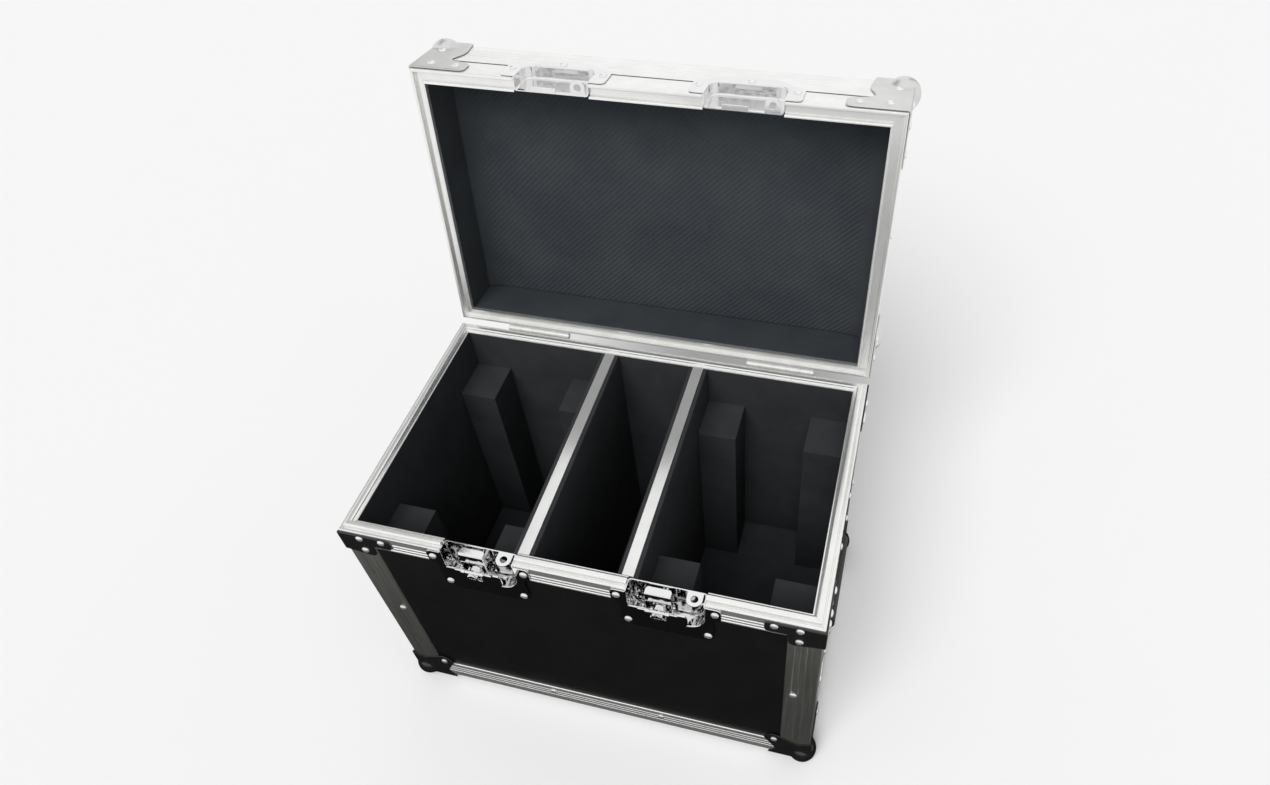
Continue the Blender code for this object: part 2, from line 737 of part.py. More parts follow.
def corner_hardware(lid_axis):
    """Ball corners and rim braces of the base, and the lid's ball corners with their rim braces."""
    leg = corner_tip(BALL_EDGE, BALL_DIP)
    foot = ball(bent_sheet(leg, leg), BALL_FOOT_FLAT)

    arm_round, arm_foot_round, fillet, lobe_round = BRACE_ROUNDS
    arm_bottom = BRACE_TOP + BRACE_ARM_WIDTH
    outline = rounded([
        (0, BRACE_TOP, 0),
        (BRACE_ARM, BRACE_TOP, arm_round),
        (BRACE_ARM, arm_bottom, arm_foot_round),
        (BRACE_LOBE, arm_bottom, fillet),
        (BRACE_LOBE, BRACE_BOTTOM, lobe_round),
        (0, BRACE_CORNER_BOTTOM, 0),
    ])
    brace = bent_sheet(outline)

    top_leg = corner_tip(LID_CORNER_EDGE, LID_CORNER_DIP)
    shoulder_round, waist_round, arm_top_round, arm_end_round = LID_CORNER_ROUNDS
    wall = rounded([
        (0, 0, 0),
        (LID_CORNER_EDGE, 0, 0),
        (LID_CORNER_SHOULDER[0], LID_HEIGHT - LID_CORNER_SHOULDER[1], shoulder_round),
        (LID_CORNER_WAIST[0], LID_HEIGHT - LID_CORNER_WAIST[1], waist_round),
        (LID_CORNER_ARM[0], LID_HEIGHT - LID_CORNER_ARM[1], arm_top_round),
        (LID_CORNER_ARM[0], LID_HEIGHT - BRACE_TOP, arm_end_round),
        (0, LID_HEIGHT - BRACE_TOP, 0),
    ])
    lid_corner = ball(bent_sheet(wall, top_leg))

    for name, corner in CORNERS.items():
        x = corner[0] * HALF_WIDTH
        y = corner[1] * HALF_DEPTH
        at_bottom = Matrix.Translation((x, y, BOTTOM))
        at_rim = Matrix.Translation((x, y, RIM))
        at_top = Matrix.Translation((x, y, LID_TOP))
        new_part("ball_corner_" + name, mirrored_to(foot, corner, False), "black_steel", at_bottom)
        new_part("rim_brace_" + name, mirrored_to(brace, corner, True), "black_steel", at_rim)
        lid_mesh = mirrored_to(lid_corner, corner, True)
        new_part("lid_corner_" + name, lid_mesh, "silver_steel", at_top, lid_axis)


def dish(flange, recess, tub, flange_out, back):
    """Pressed dish: a flange, a walled recess cut through it and a flat back."""
    rim_plate = plate([flange], flange_out - DISH_FLANGE, flange_out)
    walls = plate([tub], -back - DISH_SHEET, flange_out - DISH_FLANGE / 2)
    hollow = plate([recess], -back, flange_out + PAST)
    return solid(rim_plate, add=[walls], cut=[hollow])


def padlock_tab(low, back):
    """Padlock tab that stands out of a dish, with its hole; low is its underside."""
    hole_out = -PADLOCK_HOLE_IN
    shape = rounded([
        (PADLOCK_LEFT, back, 0),
        (PADLOCK_RIGHT, back, 0),
        (PADLOCK_RIGHT, PADLOCK_OUT, PADLOCK_ROUND),
        (PADLOCK_LEFT, PADLOCK_OUT, PADLOCK_ROUND),
    ])
    hole = []
    for step in range(ROUND_SIDES):
        turn = 2 * math.pi * step / ROUND_SIDES
        across = PADLOCK_HOLE * math.cos(turn)
        hole.append((PADLOCK_HOLE_X + across, hole_out + PADLOCK_HOLE * math.sin(turn)))
    flat = plate([shape, hole], -low - PADLOCK_SHEET, -low)
    return moved(flat, Matrix.Rotation(math.radians(90), 4, "X"))


def latch_dish():
    """Chromed dish of a recessed latch, open at the top where it meets the keeper."""
    flange = rounded([
        (-LATCH_EAR_HALF, -LATCH_EAR_TOP, LATCH_EAR_ROUND),
        (-LATCH_EAR_HALF, -LATCH_EAR_BOTTOM, LATCH_EAR_ROUND),
        (-LATCH_BODY_HALF, -LATCH_EAR_BOTTOM, LATCH_STEP_ROUND),
        (-LATCH_BODY_HALF, -LATCH_BODY_BOTTOM, LATCH_BODY_ROUND),
        (LATCH_BODY_HALF, -LATCH_BODY_BOTTOM, LATCH_BODY_ROUND),
        (LATCH_BODY_HALF, -LATCH_EAR_BOTTOM, LATCH_STEP_ROUND),
        (LATCH_EAR_HALF, -LATCH_EAR_BOTTOM, LATCH_EAR_ROUND),
        (LATCH_EAR_HALF, -LATCH_EAR_TOP, LATCH_EAR_ROUND),
    ])
    recess = rounded([
        (-RECESS_HALF, PAST, 0),
        (-RECESS_HALF, -RECESS_BOTTOM, RECESS_ROUND),
        (RECESS_HALF, -RECESS_BOTTOM, RECESS_ROUND),
        (RECESS_HALF, PAST, 0),
    ])
    outer = RECESS_HALF + DISH_SHEET
    low = RECESS_BOTTOM + DISH_SHEET
    tub = rounded([
        (-outer, 0, 0),
        (-outer, -low, RECESS_ROUND + DISH_SHEET),
        (outer, -low, RECESS_ROUND + DISH_SHEET),
        (outer, 0, 0),
    ])
    shell = dish(flange, recess, tub, SHEET, RECESS_BACK)
    hub = (LATCH_AXIS_X, LATCH_AXIS_Y)
    bore = cylinder(ROTOR_BORE, (*hub, -DISH_BACK - PAST), (*hub, -PAST))
    tab = padlock_tab(-PADLOCK_SHEET, -RECESS_BACK - DISH_SHEET / 2)
    return solid(shell, add=[tab], cut=[bore])


def keeper_dish():
    """Keeper on the lid: a shallower dish with the hook shelf and the other padlock tab."""
    flange = rounded([
        (-LATCH_EAR_HALF, KEEPER_EAR_BOTTOM, LATCH_EAR_ROUND),
        (LATCH_EAR_HALF, KEEPER_EAR_BOTTOM, LATCH_EAR_ROUND),
        (LATCH_EAR_HALF, KEEPER_EAR_TOP, LATCH_EAR_ROUND),
        (KEEPER_BODY_HALF + KEEPER_BODY_ROUND, KEEPER_EAR_TOP + LATCH_EAR_ROUND, LATCH_EAR_ROUND),
        (KEEPER_BODY_HALF, KEEPER_BODY_TOP, KEEPER_BODY_ROUND),
        (-KEEPER_BODY_HALF, KEEPER_BODY_TOP, KEEPER_BODY_ROUND),
        (-KEEPER_BODY_HALF - KEEPER_BODY_ROUND, KEEPER_EAR_TOP + LATCH_EAR_ROUND, LATCH_EAR_ROUND),
        (-LATCH_EAR_HALF, KEEPER_EAR_TOP, LATCH_EAR_ROUND),
    ])
    recess = rounded([
        (-RECESS_HALF, -PAST, 0),
        (RECESS_HALF, -PAST, 0),
        (RECESS_HALF, KEEPER_TOP, KEEPER_RECESS_ROUND),
        (-RECESS_HALF, KEEPER_TOP, KEEPER_RECESS_ROUND),
    ])
    outer = RECESS_HALF + DISH_SHEET
    high = KEEPER_TOP + DISH_SHEET
    tub = rounded([
        (-outer, GAP, 0),
        (outer, GAP, 0),
        (outer, high, KEEPER_RECESS_ROUND + DISH_SHEET),
        (-outer, high, KEEPER_RECESS_ROUND + DISH_SHEET),
    ])
    shell = dish(flange, recess, tub, SHEET, RECESS_BACK)
    shelf = box(
        (LATCH_AXIS_X - KEEPER_SHELF_HALF, KEEPER_SHELF_LOW, -RECESS_BACK - DISH_SHEET / 2),
        (LATCH_AXIS_X + KEEPER_SHELF_HALF, KEEPER_SHELF_LOW + PADLOCK_SHEET, -KEEPER_SHELF_IN),
    )
    tab = padlock_tab(KEEPER_SHELF_LOW, -RECESS_BACK - DISH_SHEET / 2)
    return solid(shell, add=[shelf, tab])


def latch_hook():
    """Sliding hook plate with its cam window and a claw folded inward at the top."""
    low = -HOOK_BOTTOM
    high = -HOOK_TOP
    sides = rounded([
        (-HOOK_HALF, low, HOOK_ROUND),
        (HOOK_HALF, low, HOOK_ROUND),
        (HOOK_HALF, high, 0),
        (-HOOK_HALF, high, 0),
    ])
    window = rounded_box(
        -HOOK_WINDOW_HALF, -HOOK_WINDOW_BOTTOM, HOOK_WINDOW_HALF, -HOOK_WINDOW_TOP, HOOK_WINDOW_ROUND
    )
    strip = plate([sides, window], -HOOK_FACE - HOOK_SHEET, -HOOK_FACE)
    claw_low = (-HOOK_HALF, high - HOOK_SHEET, -HOOK_CLAW_IN)
    claw = box(claw_low, (HOOK_HALF, high, -HOOK_FACE - HOOK_SHEET / 2))
    return solid(strip, add=[claw])


def latch_rotor():
    """Turning heart of the latch, drawn round its own axis: journal, cam, key boss and wing pin."""
    cam_back = -HOOK_FACE - HOOK_SHEET - ROTOR_CAM_SIDE
    cam_front = -HOOK_FACE + ROTOR_CAM_SIDE
    cam_y = -ROTOR_CAM_THROW
    journal = cylinder(ROTOR_JOURNAL, (0, 0, -ROTOR_BACK), (0, 0, cam_back + ROTOR_CAM_SIDE), SMALL_SIDES)
    cam = cylinder(ROTOR_CAM, (0, cam_y, cam_back), (0, cam_y, cam_front))
    boss = cylinder(ROTOR_BOSS, (0, 0, cam_front - ROTOR_CAM_SIDE), (0, 0, ROTOR_BOSS_OUT), HEX_SIDES)
    tab_half = ROTOR_TAB_HALF
    tab = box((-tab_half, 0, ROTOR_TAB_LOW), (tab_half, WING_AXIS_UP, ROTOR_TAB_HIGH))
    pin_line = (WING_AXIS_UP, WING_AXIS_OUT)
    knuckle = cylinder(ROTOR_KNUCKLE, (-tab_half, *pin_line), (tab_half, *pin_line), SMALL_SIDES)
    pin = cylinder(WING_PIN, (-WING_PIN_HALF, *pin_line), (WING_PIN_HALF, *pin_line), SMALL_SIDES)
    slot = box(
        (-ROTOR_SLOT_LENGTH / 2, -ROTOR_SLOT_HALF, ROTOR_BOSS_OUT - ROTOR_SLOT_DEPTH),
        (ROTOR_SLOT_LENGTH / 2, ROTOR_SLOT_HALF, ROTOR_BOSS_OUT + PAST),
    )
    return solid(journal, add=[cam, boss, tab, knuckle, pin], cut=[slot])


def latch_wing():
    """Butterfly flap, drawn round its pin: a plate notched for the key boss, with two knuckles."""
    low = -WING_BELOW
    high = WING_ABOVE
    bridge = low + WING_BRIDGE
    flap = plate([rounded([
        (-WING_HALF, high, WING_TOP_ROUND),
        (-WING_HALF, low, WING_ROUND),
        (WING_HALF, low, WING_ROUND),
        (WING_HALF, high, WING_TOP_ROUND),
        (WING_NOTCH_HALF, high, 0),
        (WING_NOTCH_HALF, bridge, WING_NOTCH_ROUND),
        (-WING_NOTCH_HALF, bridge, WING_NOTCH_ROUND),
        (-WING_NOTCH_HALF, high, 0),
    ])], WING_INNER - WING_AXIS_OUT, WING_OUTER - WING_AXIS_OUT)
    knuckles = []
    for side in SIDES.values():
        start = (side * WING_KNUCKLE_FROM, 0, 0)
        knuckles.append(cylinder(WING_KNUCKLE, start, (side * WING_PIN_HALF, 0, 0), SMALL_SIDES))
    past = WING_PIN_HALF + WING_KNUCKLE
    bore = cylinder(WING_BORE, (-past, 0, 0), (past, 0, 0), SMALL_SIDES)
    return solid(flap, add=knuckles, cut=[bore])


def latches(lid_axis):
    """The two latches on the base and their keepers on the lid."""
    dish_mesh = latch_dish()
    keeper_mesh = keeper_dish()
    hook_mesh = latch_hook()
    rotor_mesh = latch_rotor()
    wing_mesh = latch_wing()
    for name, side in SIDES.items():
        centre = side * LATCH_X
        axis_x = centre + LATCH_AXIS_X
        at_rim = wall_matrix("front", centre, RIM)
        at_hook = wall_matrix("front", axis_x, RIM)
        at_axis = wall_matrix("front", axis_x, RIM + LATCH_AXIS_Y)
        at_pin = at_axis @ Matrix.Translation((0, WING_AXIS_UP, WING_AXIS_OUT))
        new_part("latch_dish_" + name, dish_mesh, "chrome", at_rim)
        new_part("latch_hook_" + name, hook_mesh, "chrome", at_hook)
        new_part("latch_rotor_" + name, rotor_mesh, "chrome", at_axis)
        new_part("latch_wing_" + name, wing_mesh, "chrome", at_pin)
        new_part("latch_keeper_" + name, keeper_mesh, "chrome", at_rim, lid_axis)


def handles():
    """Recessed handle on each side wall: dish, bail and grip."""
    half_x = HANDLE_RECESS_HALF_X
    half_y = HANDLE_RECESS_HALF_Y
    recess = rounded_box(-half_x, -half_y, half_x, half_y, HANDLE_RECESS_ROUND)
    outer_x = half_x + DISH_SHEET
    outer_y = half_y + DISH_SHEET
    tub = rounded_box(-outer_x, -outer_y, outer_x, outer_y, HANDLE_RECESS_ROUND + DISH_SHEET)
    flange_x = HANDLE_FLANGE_HALF_X
    flange_y = HANDLE_FLANGE_HALF_Y
    flange = rounded_box(-flange_x, -flange_y, flange_x, flange_y, HANDLE_FLANGE_ROUND)
    shell = dish(flange, recess, tub, -GAP, RECESS_BACK)
    bore = cylinder(
        HANDLE_GRIP_BORE,
        (-outer_x - PAST, HANDLE_PIVOT_UP, -HANDLE_PIVOT_IN),
        (outer_x + PAST, HANDLE_PIVOT_UP, -HANDLE_PIVOT_IN),
        SMALL_SIDES,
    )
    dish_mesh = solid(shell, cut=[bore])
    bail_mesh = handle_bail()
    grip_mesh = handle_grip()
    for side in SIDES:
        at_dish = wall_matrix(side, 0, RIM - HANDLE_Y)
        at_pivot = at_dish @ Matrix.Translation((0, HANDLE_PIVOT_UP, -HANDLE_PIVOT_IN))
        new_part("handle_dish_" + side, dish_mesh, "chrome", at_dish)
        new_part("handle_bail_" + side, bail_mesh, "chrome", at_pivot)
        new_part("handle_grip_" + side, grip_mesh, "grip", at_pivot)


def handle_bail():
    """Bent rod, drawn round its pivot: stubs in the dish walls, two arms and the bar in the grip."""
    half = [
        (HANDLE_STUB_END, 0, 0),
        (HANDLE_ROD_HALF, 0, HANDLE_BEND_ROUND),
        (HANDLE_ROD_HALF, -HANDLE_ROD_DROP, HANDLE_BEND_ROUND),
    ]
    corners = half + [(-x, y, radius) for x, y, radius in reversed(half)]
    route = rounded(corners)
    curve = bpy.data.curves.new("bail", "CURVE")
    curve.dimensions = "3D"
    curve.bevel_depth = HANDLE_ROD
    curve.bevel_resolution = ROD_RESOLUTION
    curve.use_fill_caps = True
    spline = curve.splines.new("POLY")
    spline.points.add(len(route) - 1)
    for point, (x, y) in zip(spline.points, route):
        point.co = (x, y, 0, 1)
    guide = bpy.data.objects.new("bail", curve)
    CUTTERS.objects.link(guide)
    bpy.context.view_layer.update()
    seen = guide.evaluated_get(bpy.context.evaluated_depsgraph_get())
    mesh = bpy.data.meshes.new_from_object(seen)
    bpy.data.objects.remove(guide)
    bm = bmesh.new()
    bm.from_mesh(mesh)
    bmesh.ops.remove_doubles(bm, verts=bm.verts, dist=WELD)
    return mesh_from(bm)


def handle_grip():
    """Chunky moulded grip on the bail's bar, drawn round the pivot, with chamfered edges."""
    half_thick = HANDLE_GRIP_THICK / 2
    half_high = HANDLE_GRIP_HEIGHT / 2
    block = box((-HANDLE_GRIP_HALF, -half_high, -half_thick), (HANDLE_GRIP_HALF, half_high, half_thick))

    def chamfer(body):
        bevel = body.modifiers.new("Bevel", "BEVEL")
        bevel.width = HANDLE_GRIP_CHAMFER
        bevel.segments = 2

    soft = moved(changed(block, chamfer), Matrix.Translation((0, 0, HANDLE_GRIP_OUT)))
    past = HANDLE_GRIP_HALF + PAST
    bore = cylinder(HANDLE_GRIP_BORE, (-past, 0, 0), (past, 0, 0), SMALL_SIDES)
    grip = solid(soft, cut=[bore])
    return moved(grip, Matrix.Translation((0, -HANDLE_ROD_DROP, 0)))


def hinge_leaf(knuckles, bore):
    """Hinge leaf above its axis with the given knuckles; the other leaf fills the rest."""
    pitch = HINGE_WIDTH / HINGE_KNUCKLES
    left = -HINGE_WIDTH / 2
    flat = plate([rounded([
        (left, HINGE_CLEAR, 0),
        (-left, HINGE_CLEAR, 0),
        (-left, HINGE_LEAF_END, HINGE_CLEAR),
        (left, HINGE_LEAF_END, HINGE_CLEAR),
    ])], GAP, GAP + HINGE_LEAF)
    tab_low = GAP + HINGE_TAB_THIN
    tab_high = GAP + HINGE_LEAF - HINGE_TAB_THIN
    rolls = []
    for index in knuckles:
        start = left + index * pitch + GAP / 2
        end = start + pitch - GAP
        tab_start = (start + HINGE_TAB_INSET, HINGE_TAB_START, tab_low)
        tab_end = (end - HINGE_TAB_INSET, HINGE_TAB_END, tab_high)
        rolls.append(box(tab_start, tab_end))
        roll_end = (end, 0, HINGE_AXIS_OUT)
        rolls.append(cylinder(HINGE_KNUCKLE, (start, 0, HINGE_AXIS_OUT), roll_end, SMALL_SIDES))
    row_start = (left - HINGE_PIN_HEAD, 0, HINGE_AXIS_OUT)
    row_end = (-left + HINGE_PIN_HEAD, 0, HINGE_AXIS_OUT)
    if bore:
        return solid(flat, add=rolls, cut=[cylinder(HINGE_BORE, row_start, row_end, SMALL_SIDES)])
    return solid(flat, add=rolls + [cylinder(HINGE_PIN, row_start, row_end, SMALL_SIDES)])


def hinges(lid_axis):
    """Two hinges on the rear wall; the base leaf carries the riveted pin."""
    every = range(HINGE_KNUCKLES)
    upside_down = Matrix.Rotation(math.radians(180), 4, "Z")
    base_leaf = moved(hinge_leaf([index for index in every if index % 2 == 0], False), upside_down)
    lid_leaf = hinge_leaf([index for index in every if index % 2 == 1], True)
    for name, side in SIDES.items():
        place = wall_matrix("rear", -side * HINGE_X, RIM)
        new_part("hinge_base_leaf_" + name, base_leaf, "aluminium", place)
        new_part("hinge_lid_leaf_" + name, lid_leaf, "aluminium", place, lid_axis)


def dividers():
    """Two boards across the case and the aluminium caps on them."""
    cap_top = RIM
    cap_low = RIM - CAP_SKIRT
    board_low = BOTTOM + LINING
    board_high = RIM - RIM_LIP - GAP
    shoulder = cap_low - GAP
    half_board = HALF_DEPTH - DIVIDER_END
    half_cap = HALF_DEPTH - RIM_INNER - GAP
    inner = DIVIDER_HALF - CAP_SHEET
    board = [
        (-DIVIDER_HALF, board_low),
        (DIVIDER_HALF, board_low),
        (DIVIDER_HALF, shoulder),
        (DIVIDER_TONGUE_HALF, shoulder),
        (DIVIDER_TONGUE_HALF, board_high),
        (-DIVIDER_TONGUE_HALF, board_high),
        (-DIVIDER_TONGUE_HALF, shoulder),
        (-DIVIDER_HALF, shoulder),
    ]
    cap = [
        (-DIVIDER_HALF, cap_low),
        (-inner, cap_low),
        (-inner, cap_top - CAP_SHEET),
        (inner, cap_top - CAP_SHEET),
        (inner, cap_low),
        (DIVIDER_HALF, cap_low),
        (DIVIDER_HALF, cap_top),
        (-DIVIDER_HALF, cap_top),
    ]
    stand = Matrix.Rotation(math.radians(90), 4, "X")
    board_mesh = plate([board], -half_board, half_board)
    cap_mesh = plate([cap], -half_cap, half_cap)
    for name, x in zip(SIDES, DIVIDER_X):
        place = Matrix.Translation((x, 0, 0)) @ stand
        new_part("divider_board_" + name, board_mesh, "board", place)
        new_part("divider_cap_" + name, cap_mesh, "aluminium", place)


def foam_bay(left, right, blocks):
    """Foam tub between two x positions, with the four fixture blocks where asked."""
    low = BOTTOM + LINING
    floor = low + FOAM_FLOOR
    high = RIM - RIM_LIP - GAP
    half_y = HALF_DEPTH - LINING
    inner_y = HALF_DEPTH - LINING_FACE
    tub = box((left, -half_y, low), (right, half_y, high))
    hollow = box((left + FOAM, -inner_y, floor), (right - FOAM, inner_y, high + PAST))
    block_top = RIM - BLOCK_DROP
    adds = []
    if blocks:
        for x_wall, inward in ((left + FOAM, 1), (right - FOAM, -1)):
            for y_wall, reach in ((-inner_y, BLOCK_FRONT), (inner_y, -BLOCK_BACK)):
                edge = -BLOCK_SINK if y_wall < 0 else BLOCK_SINK
                xs = sorted((x_wall - inward * BLOCK_SINK, x_wall + inward * BLOCK_WIDTH))
                ys = sorted((y_wall + edge, y_wall + reach))
                adds.append(box((xs[0], ys[0], floor - BLOCK_SINK), (xs[1], ys[1], block_top)))
    return solid(solid(tub, cut=[hollow]), add=adds)


def latch_pocket(side):
    """Room behind a latch dish in the front lining."""
    centre = side * LATCH_X
    return box(
        (centre - NOTCH_HALF, -HALF_DEPTH, RIM - RECESS_BOTTOM - DISH_SHEET - NOTCH_CLEAR),
        (centre + NOTCH_HALF, -HALF_DEPTH + POCKET_BACK, RIM + PAST),
    )


def handle_pocket(side):
    """Room behind a handle dish in a side lining."""
    reach_y = HANDLE_RECESS_HALF_X + DISH_SHEET + NOTCH_CLEAR
    reach_z = HANDLE_RECESS_HALF_Y + DISH_SHEET + NOTCH_CLEAR
    xs = sorted((side * HALF_WIDTH, side * (HALF_WIDTH - POCKET_BACK)))
    return box((xs[0], -reach_y, RIM - HANDLE_Y - reach_z), (xs[1], reach_y, RIM - HANDLE_Y + reach_z))


def linings(lid_axis):
    """Foam tubs of the three bays and the lid's foam."""
    half_x = HALF_WIDTH - LINING
    off = DIVIDER_HALF + GAP
    first, second = DIVIDER_X
    left = foam_bay(-half_x, first - off, True)
    centre = foam_bay(first + off, second - off, False)
    right = foam_bay(second + off, half_x, True)
    left = solid(left, cut=[latch_pocket(-1), handle_pocket(-1)])
    right = solid(right, cut=[latch_pocket(1), handle_pocket(1)])
    new_part("foam_bay_left", left, "foam")
    new_part("foam_bay_centre", centre, "foam")
    new_part("foam_bay_right", right, "foam")

    half_y = HALF_DEPTH - LINING
    inner_x = HALF_WIDTH - LINING_FACE
    inner_y = HALF_DEPTH - LINING_FACE
    low = RIM + LID_BODY + GAP
    block = box((-half_x, -half_y, low), (half_x, half_y, LID_TOP - LINING))
    hollow = box((-inner_x, -inner_y, low - PAST), (inner_x, inner_y, RIM + LID_PAD_DEPTH))
    cuts = [hollow]
    pocket_high = RIM + KEEPER_TOP + DISH_SHEET + NOTCH_CLEAR
    for side in SIDES.values():
        cuts.append(box(
            (side * LATCH_X - NOTCH_HALF, -HALF_DEPTH, low - PAST),
            (side * LATCH_X + NOTCH_HALF, -HALF_DEPTH + POCKET_BACK, pocket_high),
        ))
    new_part("lid_foam", solid(block, cut=cuts), "foam", parent=lid_axis)


def lid_shell(lid_axis):
    """Panels, edge frame and rim of the lid, drawn closed."""
    low = RIM + LID_BODY + GAP
    high = LID_TOP - LINING
    half_x = HALF_WIDTH - LINING
    half_y = HALF_DEPTH - LINING
    notch_high = RIM + KEEPER_TOP + DISH_SHEET + NOTCH_CLEAR
    notches = []
    for side in SIDES.values():
        centre = side * LATCH_X
        notches.append((centre - NOTCH_HALF, centre + NOTCH_HALF, low, notch_high))
    front = plate([notched_wall(half_x, low, high, notches)], -PANEL_BACK, -PANEL_FACE)
    rear = plate([notched_wall(half_x, low, high, [])], -PANEL_BACK, -PANEL_FACE)
    side_wall = plate([notched_wall(half_y, low, high, [])], -PANEL_BACK, -PANEL_FACE)
    top = box((-half_x, -half_y, LID_TOP - PANEL_BACK), (half_x, half_y, LID_TOP - PANEL_FACE))
    new_part("lid_panel_front", front, "laminate", wall_matrix("front"), lid_axis)
    new_part("lid_panel_rear", rear, "laminate", wall_matrix("rear"), lid_axis)
    for side in SIDES:
        new_part("lid_panel_" + side, side_wall, "laminate", wall_matrix(side), lid_axis)
    new_part("lid_panel_top", top, "laminate", None, lid_axis)

    profile = []
    for inward, down in angle_profile(ANGLE_LEG, LID_HEIGHT - LID_FRAME_START):
        profile.append((inward, -down))
    frame = ring(profile, HALF_WIDTH, HALF_DEPTH)
    cuts = []
    for side in SIDES.values():
        cuts.append(box(
            (side * LATCH_X - NOTCH_HALF, -HALF_DEPTH - PAST, -LID_HEIGHT),
            (side * LATCH_X + NOTCH_HALF, -HALF_DEPTH + PANEL_FACE, notch_high - LID_TOP),
        ))
    at_top = Matrix.Translation((0, 0, LID_TOP))
    new_part("lid_frame", solid(frame, cut=cuts), "aluminium", at_top, lid_axis)

    at_rim = Matrix.Translation((0, 0, RIM))
    surround = ring(lid_rim_profile(), HALF_WIDTH, HALF_DEPTH, NOTCH_OUTER)
    middle = straight_run(lid_rim_profile(), NOTCH_INNER)
    new_part("lid_rim", surround, "aluminium", at_rim, lid_axis)
    new_part("lid_rim_middle", middle, "aluminium", at_rim, lid_axis)


def stand_on_floor():
    """Move the case so that its box stands on the origin, middle over it."""
    bpy.context.view_layer.update()
    points = []
    for part in CASE.objects:
        if part.type == "MESH":
            points += [part.matrix_world @ vert.co for vert in part.data.vertices]
    lows = [min(point[axis] for point in points) for axis in range(3)]
    highs = [max(point[axis] for point in points) for axis in range(3)]
    shift = Vector((-(lows[0] + highs[0]) / 2, -(lows[1] + highs[1]) / 2, -lows[2]))
    for part in CASE.objects:
        if not part.parent:
            part.location += shift
    bpy.context.view_layer.update()


def build():
    """Build the case, with everything on the lid hung from its hinge axis and swung open."""
    lid_axis = bpy.data.objects.new("lid_hinge_axis", None)
    CASE.objects.link(lid_axis)
    lid_axis.location = HINGE_AXIS
    base_shell()
    lid_shell(lid_axis)
    corner_hardware(lid_axis)
    latches(lid_axis)
    handles()
    hinges(lid_axis)
    dividers()
    linings(lid_axis)
    lid_axis.rotation_euler.x = -LID_OPEN
    stand_on_floor()


build()
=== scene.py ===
import json
import math

import bmesh
import bpy
from mathutils import Matrix, Vector


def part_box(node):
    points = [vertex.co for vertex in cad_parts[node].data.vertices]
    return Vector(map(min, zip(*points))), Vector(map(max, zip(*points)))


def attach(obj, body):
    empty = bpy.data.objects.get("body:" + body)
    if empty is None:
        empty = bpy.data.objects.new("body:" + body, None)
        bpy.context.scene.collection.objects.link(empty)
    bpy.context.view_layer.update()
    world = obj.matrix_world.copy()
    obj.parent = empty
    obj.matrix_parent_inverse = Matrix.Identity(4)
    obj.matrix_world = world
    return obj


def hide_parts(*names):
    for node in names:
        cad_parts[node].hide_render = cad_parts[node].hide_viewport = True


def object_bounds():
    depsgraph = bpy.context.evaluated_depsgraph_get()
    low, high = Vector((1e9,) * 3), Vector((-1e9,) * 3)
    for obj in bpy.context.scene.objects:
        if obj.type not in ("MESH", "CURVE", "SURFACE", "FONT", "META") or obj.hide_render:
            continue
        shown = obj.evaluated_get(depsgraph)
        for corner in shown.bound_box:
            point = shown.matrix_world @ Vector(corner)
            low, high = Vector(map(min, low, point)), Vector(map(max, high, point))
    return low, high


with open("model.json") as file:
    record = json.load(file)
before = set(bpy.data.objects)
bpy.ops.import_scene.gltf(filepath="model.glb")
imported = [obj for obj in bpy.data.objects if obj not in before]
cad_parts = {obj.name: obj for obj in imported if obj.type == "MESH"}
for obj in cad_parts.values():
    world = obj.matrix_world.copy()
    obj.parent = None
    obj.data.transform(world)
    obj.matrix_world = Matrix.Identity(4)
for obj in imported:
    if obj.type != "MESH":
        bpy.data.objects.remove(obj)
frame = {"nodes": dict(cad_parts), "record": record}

NODES = frame["nodes"]
BODY_OF = {name: body for body, names in frame["record"]["behaviour"]["bodies"].items() for name in names}
CAD_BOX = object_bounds()

# Meshes are drawn in millimetres, in the closed case: x and y from its middle, z from the
# bottom panel's underside. On a wall, x runs to the right of someone who faces it, y up
# and z outward.
MM = 0.001
HALF_WIDTH = 250
HALF_DEPTH = 155
BOTTOM = -1.8
RIM = 323.2
LID_HEIGHT = 75
LID_TOP = RIM + LID_HEIGHT
GAP = 0.3
PAST = 5
SHEET = 1.5
FOAM = 4.2
TONGUE_HEIGHT = 4.1

# Distances inward from the case's outer faces
PANEL_FACE = 1.8
LEG_FACE = 8.6
CORE = 9.8
LINING = 10.1
LINING_FACE = 14.3
RIM_INNER = 14.6

# Places and sizes that several parts share
BASE_FLANGE = 24
LID_FLANGE = 29
LATCH_X = 97
NOTCH_HALF = 39.5
NOTCH_DEPTH = 13.1
NOTCH_TOP = 34.3
HANDLE_Z = RIM - 157
HINGE_X = 149
ANGLE_LEG = 34.5
LID_LEG = 43
DIVIDERS = {"left": -52, "right": 56}
DIVIDER_HALF = 6
HUB = (-8, -33)
PIN = (-8, -26)
PIN_OUT = 3.7
SIDES = {"left": -1, "right": 1}
WALLS = {"front": 0, "right": 90, "rear": 180, "left": 270}
CORNERS = {
    "front_left": (-1, -1),
    "front_right": (1, -1),
    "rear_left": (-1, 1),
    "rear_right": (1, 1),
}

